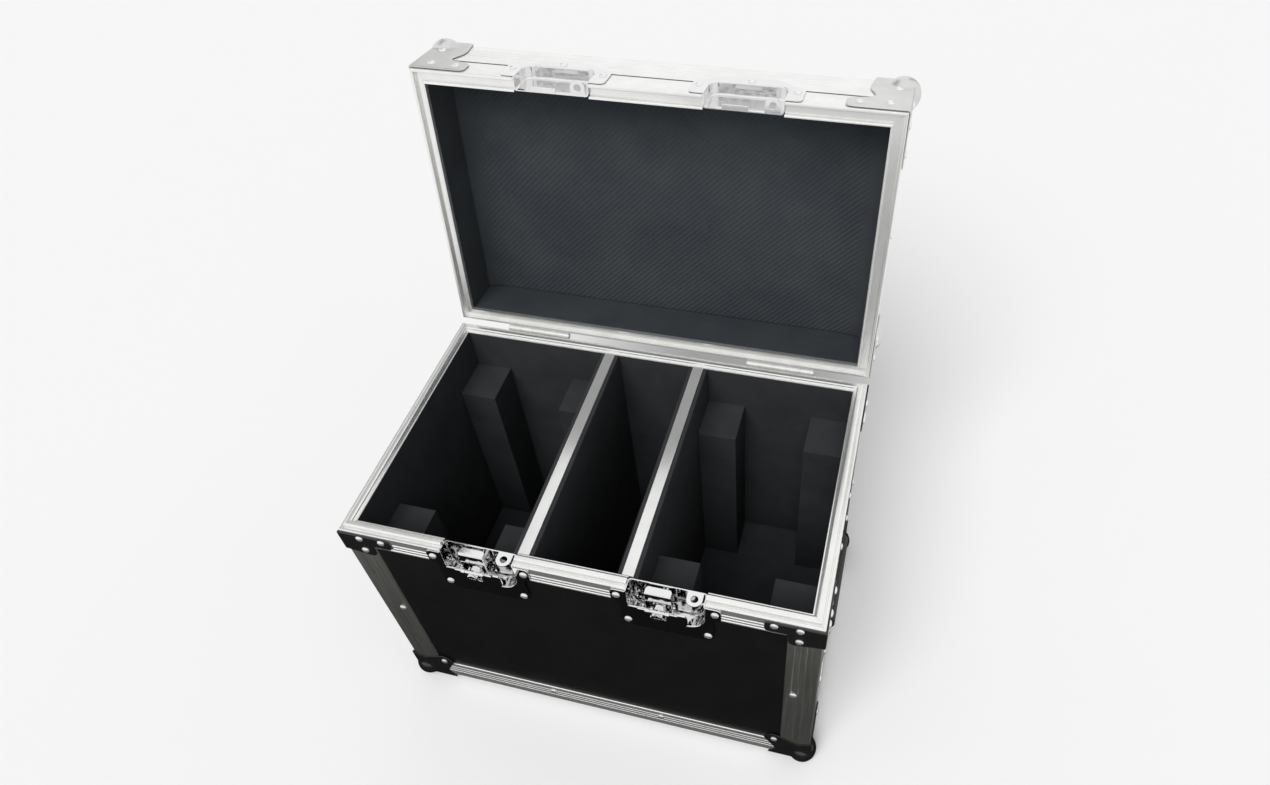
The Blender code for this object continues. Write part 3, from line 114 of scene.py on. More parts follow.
# The case in the world, and the open lid's place in the case
RIM_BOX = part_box("base_rim")
CASE_AT = Matrix.Translation((
    0,
    (RIM_BOX[0].y + RIM_BOX[1].y) / 2,
    RIM_BOX[1].z - (RIM + TONGUE_HEIGHT) * MM,
))
PIN_AXIS = 4.2
LID_OPEN = 98
HINGE_AXIS = Vector((0, HALF_DEPTH + PIN_AXIS, RIM)) * MM
LID_SWING = (
    Matrix.Translation(HINGE_AXIS)
    @ Matrix.Rotation(math.radians(-LID_OPEN), 4, "X")
    @ Matrix.Translation(-HINGE_AXIS)
)

# Photo: focal length and optical centre in its pixels, camera in the closed case's frame
IMAGE_WIDTH = 1270
IMAGE_HEIGHT = 785
FOCAL = 885.2
CENTRE = (688.9, 394.5)
CAMERA_AT = Vector((0.25733, -0.53740, 1.07282))
CAMERA_RIGHT = Vector((0.96723, 0.24920, -0.04871))
CAMERA_DOWN = Vector((0.15542, -0.73274, -0.66253))
CAMERA_FORWARD = Vector((-0.20079, 0.63324, -0.74745))
SENSOR = 36


# Materials

def node(tree, kind, **settings):
    made = tree.nodes.new("ShaderNode" + kind)
    for key, value in settings.items():
        setattr(made, key, value)
    return made


def link(tree, source, target):
    tree.links.new(source, target)


def value_of(tree, operation, *sources):
    """Result of a Math node on numbers or sockets."""
    made = node(tree, "Math", operation=operation)
    for socket, source in zip(made.inputs, sources):
        if isinstance(source, (int, float)):
            socket.default_value = source
        else:
            link(tree, source, socket)
    return made.outputs[0]


def ramp(tree, source, stops):
    """Colour that runs between two (place, colour) stops."""
    made = node(tree, "ValToRGB")
    link(tree, source, made.inputs[0])
    for stop, (place, colour) in zip(made.color_ramp.elements, stops):
        stop.position = place
        stop.color = (*colour, 1)
    return made.outputs[0]


def grey(level, warm=1):
    """Grey colour; a warm value under 1 takes some blue away."""
    return (level, level, level * warm)


def noise(tree, vector, scale, detail, rough):
    made = node(tree, "TexNoise")
    made.inputs["Scale"].default_value = scale
    made.inputs["Detail"].default_value = detail
    made.inputs["Roughness"].default_value = rough
    link(tree, vector, made.inputs["Vector"])
    return made.outputs["Fac"]


def plain(tree):
    return node(tree, "TexCoord").outputs["Object"]


def along_rim(tree):
    """Place across a profile that runs round the case, so that marks run along it."""
    split = node(tree, "SeparateXYZ")
    link(tree, plain(tree), split.inputs[0])
    far_x = value_of(tree, "SUBTRACT", HALF_WIDTH * MM, value_of(tree, "ABSOLUTE", split.outputs[0]))
    far_y = value_of(tree, "SUBTRACT", HALF_DEPTH * MM, value_of(tree, "ABSOLUTE", split.outputs[1]))
    across = value_of(tree, "MINIMUM", far_x, far_y)
    length = value_of(tree, "MULTIPLY", value_of(tree, "ADD", split.outputs[0], split.outputs[1]), 0.02)
    join = node(tree, "CombineXYZ")
    link(tree, across, join.inputs[0])
    link(tree, split.outputs[2], join.inputs[1])
    link(tree, length, join.inputs[2])
    return join.outputs[0]


def stretched(scale):
    """Place squeezed along some axes, so that marks run along them."""
    def lay(tree):
        squeeze = node(tree, "Mapping")
        squeeze.inputs["Scale"].default_value = scale
        link(tree, plain(tree), squeeze.inputs["Vector"])
        return squeeze.outputs[0]
    return lay


def surface(name, metallic, colours, roughness, colour_scale, grain, grain_depth, lay=plain, **extra):
    """Material with colour drift, uneven roughness and a fine grain of the given scale and depth."""
    material = bpy.data.materials.new(name)
    material.use_nodes = True
    tree = material.node_tree
    shader = tree.nodes["Principled BSDF"]
    place = lay(tree)
    drift = noise(tree, plain(tree), colour_scale, 4, 0.6)
    link(tree, ramp(tree, drift, [(0.35, colours[0]), (0.65, colours[1])]), shader.inputs["Base Color"])
    wear = noise(tree, place, grain * 0.25, 3, 0.6)
    gloss = ramp(tree, wear, [(0.3, grey(roughness[0])), (0.7, grey(roughness[1]))])
    link(tree, gloss, shader.inputs["Roughness"])
    shader.inputs["Metallic"].default_value = metallic
    bump = node(tree, "Bump")
    bump.inputs["Distance"].default_value = grain_depth
    bump.inputs["Strength"].default_value = 1
    link(tree, noise(tree, place, grain, 3, 0.55), bump.inputs["Height"])
    link(tree, bump.outputs[0], shader.inputs["Normal"])
    for key, value in extra.items():
        shader.inputs[key.replace("_", " ")].default_value = value
    return material


def aluminium(name, lay, level, metallic=0.84, roughness=(0.26, 0.38), warm=0.985, depth=0.00001):
    tones = (grey(level, warm), grey(level * 0.94, warm * 0.99))
    return surface(name, metallic, tones, roughness, 40, 2600, depth, lay)


MATERIALS = {
    "rim": aluminium("satin_aluminium_profile", along_rim, 0.91, 0.84, (0.2, 0.26), depth=0.000002),
    # The uprights are the same extruded aluminium as the rims, given a darker, warmer colour here: painted
    # shade, for the dark floor they reflect
    "angle": aluminium("satin_aluminium_painted_darker", stretched((1, 1, 0.02)), 0.66, 0.97, (0.32, 0.44), 0.93),
    "caps": aluminium("satin_aluminium_cap", stretched((1, 0.02, 1)), 0.86, 0.62, (0.16, 0.24)),
    "hinge": aluminium("bright_aluminium_hinge", plain, 0.9, 0.8, (0.16, 0.28)),
    "chrome": surface("bright_chrome", 1, (grey(0.86), grey(0.81)), (0.03, 0.09), 60, 900, 0.0000012),
    "rivet": surface("bright_rivet", 0.85, (grey(0.92), grey(0.84)), (0.26, 0.38), 400, 1800, 0.000004),
    # Lower ball corners and rim braces are zinc-plated steel like the lid corners; their near-black colour is
    # painted shade, for the dark floor they reflect
    "black_steel": surface(
        "gloss_steel_with_painted_shade", 0, (grey(0.01), grey(0.013)), (0.16, 0.26), 50, 700, 0.00001, Coat_Weight=0.3
    ),
    "silver_steel": surface(
        "satin_zinc_steel", 0.9, (grey(0.72, 0.98), grey(0.67, 0.98)), (0.28, 0.38), 60, 1600, 0.000003
    ),
    "laminate": surface(
        "black_laminate", 0, (grey(0.0058), grey(0.0075)), (0.3, 0.42), 30, 1500, 0.00004,
        Specular_IOR_Level=0.35,
    ),
    "foam": surface(
        "dark_foam", 0, ((0.033, 0.035, 0.038), (0.041, 0.044, 0.047)), (0.92, 1), 25, 2200, 0.0002,
        Specular_IOR_Level=0.2,
    ),
    # The lid lining is the same foam as the bays; its lighter, bluer colour is painted light, where the lid's
    # inside faces the light
    "lid_foam": surface(
        "foam_with_painted_light", 0, ((0.037, 0.042, 0.048), (0.048, 0.055, 0.061)), (0.9, 1), 14, 2200, 0.0002,
        Specular_IOR_Level=0.2,
    ),
    "board": surface("black_board", 0, (grey(0.012), grey(0.018)), (0.6, 0.8), 60, 1500, 0.00006),
    "grip": surface("moulded_grip", 0, (grey(0.012), grey(0.016)), (0.45, 0.6), 80, 1600, 0.00005),
}


# Shapes

ARC_STEPS = 8
ROUND_SIDES = 40
MERGE = 0.001
SHARP_ANGLE = 32


def mesh_from(bm):
    """Mesh of a working mesh, with its faces outward."""
    bmesh.ops.recalc_face_normals(bm, faces=bm.faces)
    mesh = bpy.data.meshes.new("shape")
    bm.to_mesh(mesh)
    bm.free()
    return mesh


def placed(name, data):
    """New object of the scene."""
    made = bpy.data.objects.new(name, data)
    bpy.context.scene.collection.objects.link(made)
    return made


def evaluated(shape, modifiers=()):
    """Mesh of a mesh or curve, with the given modifiers, a list of (kind, settings), applied."""
    body = placed("body", shape)
    for kind, settings in modifiers:
        modifier = body.modifiers.new(kind, kind)
        for key, value in settings.items():
            setattr(modifier, key, value)
    bpy.context.view_layer.update()
    seen = body.evaluated_get(bpy.context.evaluated_depsgraph_get())
    result = bpy.data.meshes.new_from_object(seen)
    bpy.data.objects.remove(body)
    return result


def solid(base, add=(), cut=(), within=()):
    """Join the add meshes to the base, cut the cut meshes out of it and keep what lies within the rest."""
    tools = []
    steps = []
    for operation, meshes in (("UNION", add), ("DIFFERENCE", cut), ("INTERSECT", within)):
        for mesh in meshes:
            tools.append(placed("tool", mesh))
            steps.append(("BOOLEAN", {"operation": operation, "solver": "EXACT", "object": tools[-1]}))
    result = evaluated(base, steps)
    for tool in tools:
        bpy.data.objects.remove(tool)
    return result


def thickened(bm, thickness, offset):
    """Solid sheet from an open one; an offset of 1 adds on the outside of its faces, -1 on the inside."""
    sheet = bpy.data.meshes.new("sheet")
    bm.to_mesh(sheet)
    bm.free()
    settings = {"thickness": thickness, "offset": offset, "use_even_offset": True}
    return evaluated(sheet, [("SOLIDIFY", settings)])


def joined(meshes):
    bm = bmesh.new()
    for mesh in meshes:
        bm.from_mesh(mesh)
    return mesh_from(bm)


def moved(mesh, matrix):
    """Copy of a mesh, moved or mirrored, with its faces kept outward."""
    bm = bmesh.new()
    bm.from_mesh(mesh)
    bmesh.ops.transform(bm, matrix=matrix, verts=bm.verts)
    return mesh_from(bm)


def box(low, high):
    bm = bmesh.new()
    bmesh.ops.create_cube(bm, size=1)
    low = Vector(low)
    high = Vector(high)
    bmesh.ops.scale(bm, vec=high - low, verts=bm.verts)
    bmesh.ops.translate(bm, vec=(low + high) / 2, verts=bm.verts)
    return mesh_from(bm)


def cylinder(radius, start, end, sides=ROUND_SIDES):
    start = Vector(start)
    end = Vector(end)
    run = end - start
    bm = bmesh.new()
    bmesh.ops.create_cone(
        bm, cap_ends=True, segments=sides, radius1=radius, radius2=radius, depth=run.length
    )
    turn = run.to_track_quat("Z", "Y").to_matrix().to_4x4()
    bmesh.ops.transform(bm, matrix=Matrix.Translation((start + end) / 2) @ turn, verts=bm.verts)
    return mesh_from(bm)


def rounded(corners, steps=ARC_STEPS, is_open=False):
    """Outline through (x, y, radius) corners, each turned with an arc of its radius."""
    points = []
    for index, (x, y, radius) in enumerate(corners):
        here = Vector((x, y))
        if not radius or is_open and index in (0, len(corners) - 1):
            points.append(here)
            continue
        before = Vector(corners[index - 1][:2])
        after = Vector(corners[(index + 1) % len(corners)][:2])
        back = (before - here).normalized()
        ahead = (after - here).normalized()
        half_angle = back.angle(ahead) / 2
        centre = here + (back + ahead).normalized() * radius / math.sin(half_angle)
        start = here + back * radius / math.tan(half_angle) - centre
        turn = start.angle_signed(here + ahead * radius / math.tan(half_angle) - centre)
        for step in range(steps + 1):
            points.append(centre + Matrix.Rotation(-turn * step / steps, 2) @ start)
    return points


def rounded_box(left, bottom, right, top, radius):
    corners = ((left, bottom), (right, bottom), (right, top), (left, top))
    return rounded([(x, y, radius) for x, y in corners])


def circle(x, y, radius):
    turns = [2 * math.pi * step / ROUND_SIDES for step in range(ROUND_SIDES)]
    return [(x + radius * math.cos(turn), y + radius * math.sin(turn)) for turn in turns]


def from_curve(curve):
    """Working mesh of a curve, with the points that meet merged."""
    bm = bmesh.new()
    bm.from_mesh(evaluated(curve))
    bmesh.ops.remove_doubles(bm, verts=bm.verts, dist=MERGE)
    return bm


def add_line(curve, points):
    line = curve.splines.new("POLY")
    line.points.add(len(points) - 1)
    for point, (x, y) in zip(line.points, points):
        point.co = (x, y, 0, 1)
    return line


def plate(outlines, low, high):
    """Flat piece between two heights from outlines in x and y; inner outlines are holes."""
    curve = bpy.data.curves.new("outline", "CURVE")
    curve.dimensions = "2D"
    curve.fill_mode = "BOTH"
    curve.extrude = (high - low) / 2
    for outline in outlines:
        add_line(curve, outline).use_cyclic_u = True
    bm = from_curve(curve)
    bmesh.ops.dissolve_limit(bm, angle_limit=math.radians(0.1), verts=bm.verts, edges=bm.edges)
    bmesh.ops.translate(bm, vec=(0, 0, (low + high) / 2), verts=bm.verts)
    return mesh_from(bm)


def skin(bm, rows, is_open=False):
    """Faces between rows of points, each row closed on itself unless is_open is set."""
    for row, after in zip(rows, rows[1:]):
        for index in range(1 if is_open else 0, len(row)):
            bm.faces.new((row[index - 1], row[index], after[index], after[index - 1]))


def wall_matrix(side, along=0, up=0):
    """Place drawn facing a wall: x along the wall, y up from the given height, z outward."""
    out = HALF_DEPTH if side in ("front", "rear") else HALF_WIDTH
    turn = Matrix.Rotation(math.radians(WALLS[side]), 4, "Z")
    return turn @ Matrix.Translation((along, -out, up)) @ Matrix.Rotation(math.radians(90), 4, "X")


def piece(name, mesh, material, stands_for=(), place=Matrix.Identity(4), body=None, sharp=SHARP_ANGLE):
    """Finished piece from a mesh in millimetres, on the body that carries what it stands for."""
    body = body or BODY_OF[stands_for[0]]
    mesh = mesh.copy()
    mesh.transform(Matrix.Diagonal((MM, MM, MM, 1)) @ place)
    if place.determinant() < 0:
        mesh.flip_normals()
    mesh.shade_smooth()
    mesh.set_sharp_from_angle(angle=math.radians(sharp))
    mesh.materials.clear()
    mesh.materials.append(MATERIALS[material])
    made = placed(name, mesh)
    made.matrix_world = CASE_AT @ LID_SWING if body == "lid" else CASE_AT
    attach(made, body)
    if stands_for:
        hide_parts(*stands_for)
    return made


def soften(made, width, segments=3):
    """Round a piece's edges, with the width in millimetres."""
    bevel = made.modifiers.new("Bevel", "BEVEL")
    bevel.width = width * MM
    bevel.segments = segments
    bevel.limit_method = "ANGLE"
    bevel.angle_limit = math.radians(SHARP_ANGLE)
    bevel.miter_outer = "MITER_ARC"
    flatten(made)


def flatten(made):
    """Keep a piece's large faces flat next to its rounded ones."""
    weights = made.modifiers.new("Weighted", "WEIGHTED_NORMAL")
    weights.keep_sharp = True


def paint(name, material):
    """Give a node's own mesh its material."""
    mesh = NODES[name].data
    mesh.materials.clear()
    mesh.materials.append(MATERIALS[material])


# Profiles round the case

PROFILE_STEPS = 4
RIM_GROOVES = (20.6, 15.6, 10.6)
ANGLE_GROOVES = (26, 20, 14)
MITRE_GAP = 0.06
PORT_RADIUS = 1.2
PORT_DEPTH = 4
PORT_SIDES = 24


def grooved(centres, width, depth):
    """Corners (along, depth, radius) of grooves on a leg, from its far end towards the corner."""
    points = []
    for centre in centres:
        points.append((centre + width / 2, 0, 0.2))
        points.append((centre + width / 5, depth, 0.2))
        points.append((centre - width / 5, depth, 0.2))
        points.append((centre - width / 2, 0, 0.2))
    return points


def rim_profile():
    """Tongue half of the closing profile, in (inward, up) from the rim plane."""
    flange = [(0, -BASE_FLANGE, 0.3)]
    flange += [(depth, -along, radius) for along, depth, radius in grooved(RIM_GROOVES, 2.8, 0.8)]
    return rounded(flange + [
        (0, 0, 0.9), (3, 0, 0.3), (3, -0.8, 0.25), (4.5, -0.8, 0.25), (4.5, TONGUE_HEIGHT, 1.9),
        (11.5, TONGUE_HEIGHT, 1.9), (11.5, 1.9, 0.5), (13.3, 0, 0.5), (RIM_INNER, 0, 0.3),
        (RIM_INNER, -1.2, 0.2), (CORE, -1.2, 0), (CORE, -12, 0.2), (LEG_FACE, -12, 0.2), (LEG_FACE, -1.2, 0),
        (SHEET, -1.2, 0), (SHEET, -BASE_FLANGE, 0.3),
    ], PROFILE_STEPS)


def lid_rim_profile():
    """Groove half of the closing profile, in (inward, up) from the rim plane."""
    flange = [(0, LID_FLANGE, 0.3)]
    flange += [(depth, along, radius) for along, depth, radius in grooved(RIM_GROOVES, 2.8, 0.8)]
    return rounded(flange + [
        (0, 0.3, 0.9), (3.3, 0.3, 0.4), (3.3, 4.6, 0.5), (12.3, 4.6, 0.5), (12.3, 1.4, 0.3), (13.4, 0.3, 0.2),
        (RIM_INNER, 0.3, 0.2), (RIM_INNER, 5.8, 0.3), (CORE, 5.8, 0), (CORE, 16, 0.2), (LEG_FACE, 16, 0.2),
        (LEG_FACE, 5.8, 0), (SHEET, 5.8, 0), (SHEET, LID_FLANGE, 0.3),
    ], PROFILE_STEPS)


def angle_profile(leg_a, leg_b, edge=1.3):
    """Ribbed corner angle with a solid core, in (a, b) from its outer faces; edge rounds the leg ends."""
    ribs = grooved(ANGLE_GROOVES, 2.2, 0.5)
    outer_b = [(depth, along, radius) for along, depth, radius in ribs]
    return rounded([(leg_a, 0, edge)] + ribs + [(0, 0, 2.5)] + outer_b[::-1] + [
        (0, leg_b, edge), (SHEET, leg_b, 0.1), (SHEET, CORE, 0), (LEG_FACE, CORE, 0), (LEG_FACE, 20, 0.2),
        (CORE, 20, 0.2), (CORE, CORE, 0), (20, CORE, 0.2), (20, LEG_FACE, 0.2), (CORE, LEG_FACE, 0),
        (CORE, SHEET, 0), (leg_a, SHEET, 0.1),
    ], PROFILE_STEPS)


def run(profile, side, left=None, right=None):
    """Length of an (inward, up) profile along a wall; an end with no place is mitred at the corner."""
    half = HALF_WIDTH if side in ("front", "rear") else HALF_DEPTH
    bm = bmesh.new()
    rows = []
    for end, sign in ((left, -1), (right, 1)):
        row = []
        for inward, up in profile:
            x = sign * (half - inward - MITRE_GAP) if end is None else end
            row.append(bm.verts.new((x, up, -inward)))
        rows.append(row)
        bm.faces.new(row)
    skin(bm, rows)
    return moved(mesh_from(bm), wall_matrix(side))


def screw_port(x):
    """Hole in a tongue's end face, on the front."""
    start = wall_matrix("front") @ Vector((x - PORT_DEPTH, 1.3, -8))
    return cylinder(PORT_RADIUS, start, start + Vector((2 * PORT_DEPTH, 0, 0)), PORT_SIDES)


def profiles():
    at_rim = Matrix.Translation((0, 0, RIM))
    outer = LATCH_X + NOTCH_HALF
    inner = LATCH_X - NOTCH_HALF
    for prefix, profile, ports in (("base", rim_profile(), True), ("lid", lid_rim_profile(), False)):
        runs = [run(profile, side) for side in ("left", "rear", "right")]
        for left, right, port in ((None, -outer, -outer), (outer, None, outer)):
            stub = run(profile, "front", left, right)
            runs.append(solid(stub, cut=[screw_port(port)]) if ports else stub)
        flatten(piece(prefix + "_rim_profile", joined(runs), "rim", [prefix + "_rim"], at_rim))
        middle = run(profile, "front", -inner, inner)
        if ports:
            middle = solid(middle, cut=[screw_port(-inner), screw_port(inner)])
        flatten(piece(prefix + "_rim_bridge", middle, "rim", [prefix + "_rim_middle"], at_rim))

    ring = joined([run(angle_profile(ANGLE_LEG, ANGLE_LEG), side) for side in WALLS])
    at_bottom = Matrix.Translation((0, 0, BOTTOM))
    flatten(piece("bottom_profile", ring, "rim", ["bottom_frame"], at_bottom))

    high_profile = [(inward, -down) for inward, down in angle_profile(ANGLE_LEG, LID_LEG, 0.3)]
    runs = [run(high_profile, side) for side in ("left", "rear", "right")]
    notches = []
    for sign in SIDES.values():
        notches.append(box(
            (sign * LATCH_X - NOTCH_HALF, -HALF_DEPTH - PAST, -LID_HEIGHT),
            (sign * LATCH_X + NOTCH_HALF, -HALF_DEPTH + PANEL_FACE, RIM + NOTCH_TOP - LID_TOP),
        ))
    runs.append(solid(run(high_profile, "front"), cut=notches))
    at_top = Matrix.Translation((0, 0, LID_TOP))
    flatten(piece("lid_profile", joined(runs), "rim", ["lid_frame"], at_top))

    low = BOTTOM + ANGLE_LEG + GAP
    upright = plate([angle_profile(ANGLE_LEG, ANGLE_LEG)], low, RIM - BASE_FLANGE - GAP)
    for name, turn in (("front_left", 0), ("front_right", 90), ("rear_right", 180), ("rear_left", 270)):
        x, y = CORNERS[name]
        at_corner = Matrix.Translation((x * HALF_WIDTH, y * HALF_DEPTH, 0))
        place = at_corner @ Matrix.Rotation(math.radians(turn), 4, "Z")
        flatten(piece("upright_" + name, upright, "angle", ["corner_angle_" + name], place))


# Corner hardware

CORNER_SHEET = 1.5
BALL_RADIUS = 17
BALL_INSET = 9
BALL_HOLLOW = 0.8
BALL_TIP = (55.5, 43.5)
FOOT_LEVEL = BALL_INSET - BALL_RADIUS + 1
VOXEL = 0.75


def corner_tip(edge, dip):
    """Outline of one leg on the cap face, from the corner out and back."""
    tip_a, tip_b = BALL_TIP
    dip_a, dip_b = dip
    return rounded([
        (0, 0, 0), (edge, 0, 0), (dip_a, dip_b, 5), (tip_a, tip_b, 8.5), (tip_b, tip_a, 8.5),
        (dip_b, dip_a, 5), (0, edge, 0),
    ])


def bent_sheet(wall, cap=None):
    """Sheet on the two walls, and the cap face, of a corner whose inside is +x, +y, +z."""
    bm = bmesh.new()

    def shift(value):
        """Take a point on the corner's own edge out to the sheet's inner face."""
        return -GAP if abs(value) < MERGE else value

    bm.faces.new([bm.verts.new((shift(a), -GAP, shift(b))) for a, b in wall])
    bm.faces.new([bm.verts.new((-GAP, shift(a), shift(b))) for a, b in reversed(wall)])
    if cap:
        bm.faces.new([bm.verts.new((shift(a), shift(b), -GAP)) for a, b in reversed(cap)])
    bmesh.ops.remove_doubles(bm, verts=bm.verts, dist=MERGE)
    return thickened(bm, CORNER_SHEET, 1)


def ball(sheet, foot=None):
    """Ball joined to a corner sheet, hollowed where the case corner sits and cut flat at the foot."""
    bm = bmesh.new()
    bmesh.ops.create_uvsphere(bm, u_segments=48, v_segments=24, radius=BALL_RADIUS)
    bmesh.ops.translate(bm, vec=(BALL_INSET, BALL_INSET, BALL_INSET), verts=bm.verts)
    globe = mesh_from(bm)
    far = BALL_INSET + BALL_RADIUS + PAST
    cuts = [box((-BALL_HOLLOW, -BALL_HOLLOW, -BALL_HOLLOW), (far, far, far))]
    if foot is not None:
        cuts.append(box((-far, -far, foot - far), (far, far, foot)))
    return solid(solid(globe, cut=cuts), add=[sheet])


def pressed(mesh):
    """Soft-edged version of a corner piece, as pressing leaves it, kept inside its own box."""
    low = [min(vert.co[axis] for vert in mesh.vertices) for axis in range(3)]
    soft = evaluated(mesh, [
        ("REMESH", {"mode": "VOXEL", "voxel_size": VOXEL, "use_smooth_shade": True}),
        ("SMOOTH", {"factor": 0.5, "iterations": 9}),
    ])
    for vert in soft.vertices:
        for axis in range(3):
            vert.co[axis] = max(vert.co[axis], low[axis])
    return soft


def corner_hardware():
    leg = corner_tip(48, (39, 13))
    foot = pressed(ball(bent_sheet(leg, leg), FOOT_LEVEL))
    brace = bent_sheet(rounded([
        (0, 3, 0), (57, 3, 4), (57, 19, 4), (34, 19, 4), (34, 39, 6), (0, 33, 0),
    ]))
    wall = rounded([
        (0, 0, 0), (37, 0, 0), (41, 25, 20), (31, 46, 6), (59, 52, 9), (59, 72, 7), (0, 72, 0),
    ])
    top = pressed(ball(bent_sheet(wall, corner_tip(37, (33, 12)))))
    for name, (x, y) in CORNERS.items():
        for label, mesh, material, node_name, height, down in (
            ("ball_", foot, "black_steel", "ball_corner_", BOTTOM, 1),
            ("brace_", brace, "black_steel", "rim_brace_", RIM, -1),
            ("lid_ball_", top, "silver_steel", "lid_corner_", LID_TOP, -1),
        ):
            at_corner = Matrix.Translation((x * HALF_WIDTH, y * HALF_DEPTH, height))
            place = at_corner @ Matrix.Diagonal((-x, -y, down, 1))
            made = piece(label + name, mesh, material, [node_name + name], place, sharp=60)
            if mesh is brace:
                soften(made, 0.5)


# Latches, drawn round the middle of the latch at the rim plane

DISH_SHEET = 1.1
DISH_BACK = 11.8
TOP_FILLET = 1.4
BACK_FILLET = 2
RECESS_HALF = 38.2
FILLET_STEPS = 5
DISH_END = -2.5
DISH_LOW = -46
KEEPER_END = 3
KEEPER_HIGH = 33
HUB_HOLE = 3.8
TAB_HOLE = 3.8
TAB_SHEET = 1.2
HOOK_HALF = 13


def fillet_rings(flange_out):
    """(offset, height, share of the flange end) down a pressed wall, from the flange to the back."""
    rings = []
    for step in range(FILLET_STEPS + 1):
        turn = math.pi / 2 * step / FILLET_STEPS
        out = TOP_FILLET * (1 - math.sin(turn))
        rings.append((out, flange_out - TOP_FILLET * (1 - math.cos(turn)), out / TOP_FILLET))
    for step in range(FILLET_STEPS + 1):
        turn = math.pi / 2 * step / FILLET_STEPS
        inward = BACK_FILLET * (1 - math.cos(turn))
        rings.append((-inward, -DISH_BACK + BACK_FILLET * (1 - math.sin(turn)), 0))
    return rings


def pressed_dish(flange, path, flange_out, is_open):
    """Sheet dish: flange, filleted wall and flat back; path(offset, share) gives the wall's points."""
    bm = bmesh.new()
    rows = []
    for offset, height, share in fillet_rings(flange_out):
        rows.append([bm.verts.new((x, y, height)) for x, y in path(offset, share)])
    rim = [bm.verts.new((x, y, flange_out)) for x, y in flange]
    skin(bm, rows, is_open)
    bm.faces.new(rows[-1])
    if is_open:
        face = bm.faces.new(rim + rows[0][::-1])
    else:
        outer = [bm.edges.new((rim[index - 1], rim[index])) for index in range(len(rim))]
        inner = [bm.edges.get((rows[0][index - 1], rows[0][index])) for index in range(len(rows[0]))]
        filled = bmesh.ops.triangle_fill(bm, edges=outer + inner, use_beauty=True)["geom"]
        face = next(item for item in filled if isinstance(item, bmesh.types.BMFace))
    bmesh.ops.recalc_face_normals(bm, faces=bm.faces)
    face.normal_update()
    if face.normal.z < 0:
        bmesh.ops.reverse_faces(bm, faces=bm.faces)
    return thickened(bm, DISH_SHEET, -1)


def padlock_tab(low):
    """Padlock tab that stands out of a dish, with its hole; low is its underside."""
    shape = rounded([(20.5, -12.4, 0), (36, -12.4, 0), (36, 3, 7.6), (20.5, 3, 7.6)], 12)
    flat = plate([shape, circle(28.25, -4.6, TAB_HOLE)], -low - TAB_SHEET, -low)
    return moved(flat, Matrix.Rotation(math.radians(90), 4, "X"))


def latch_dish():
    flange = rounded([
        (-RECESS_HALF - TOP_FILLET, DISH_END, 0), (-55, DISH_END, 5), (-55, -24, 5), (-47, -24, 3),
        (-47, -67, 14), (47, -67, 14), (47, -24, 3), (55, -24, 5), (55, DISH_END, 5),
        (RECESS_HALF + TOP_FILLET, DISH_END, 0),
    ])[1:-1]

    def path(offset, share):
        across = RECESS_HALF + offset
        low = DISH_LOW - offset
        end = DISH_END * share
        bend = 20 + offset
        return rounded([(-across, end, 0), (-across, low, bend), (across, low, bend), (across, end, 0)])

    shell = pressed_dish(flange, path, SHEET, True)
    return solid(shell, add=[padlock_tab(-TAB_SHEET)], cut=[cylinder(HUB_HOLE, (*HUB, -20), (*HUB, -5))])


def keeper_dish():
    flange = rounded([
        (RECESS_HALF + TOP_FILLET, KEEPER_END, 0), (55, KEEPER_END, 5), (55, 31, 5), (42, 36, 5),
        (30, 47, 12), (-30, 47, 12), (-42, 36, 5), (-55, 31, 5), (-55, KEEPER_END, 5),
        (-RECESS_HALF - TOP_FILLET, KEEPER_END, 0),
    ])[1:-1]

    def path(offset, share):
        across = RECESS_HALF + offset
        high = KEEPER_HIGH + offset
        end = GAP + (KEEPER_END - GAP) * share
        bend = 10 + offset
        return rounded([(across, end, 0), (across, high, bend), (-across, high, bend), (-across, end, 0)])

    shell = pressed_dish(flange, path, SHEET, True)
    shelf = box((HUB[0] - HOOK_HALF, 0.5, -12.4), (HUB[0] + HOOK_HALF, 1.7, -7.5))
    return solid(shell, add=[shelf, padlock_tab(0.5)])


def latch_hook():
    """Sliding hook plate bent from one strip, with its cam window and its claw folded inward."""
    half = HOOK_HALF
    front, back = -2, -3.5
    bend = 2.2
    outline = rounded([
        (-44.3, front, 0.2), (-3.5, front, bend), (-3.5, -10.5, 0.3), (-5, -10.5, 0.3),
        (-5, back, bend - SHEET), (-44.3, back, 0.2),
    ], 6)
    turn = Matrix(((0, 0, 1, 0), (1, 0, 0, 0), (0, 1, 0, 0), (0, 0, 0, 1)))
    strip = moved(plate([outline], -half, half), turn)
    plan = plate([rounded([(-half, -10.5, 3.5), (half, -10.5, 3.5), (half, 5, 0), (-half, 5, 0)])], -5, 50)
    plan = moved(plan, Matrix.Rotation(math.radians(90), 4, "X"))
    face = plate([rounded([(-half, -44.3, 4), (half, -44.3, 4), (half, 5, 0), (-half, 5, 0)])], -20, 5)
    window = plate([rounded_box(-10, -42.85, 10, -30.15, 2)], -8, 2)
    return moved(solid(strip, cut=[window], within=[plan, face]), Matrix.Translation((HUB[0], 0, 0)))


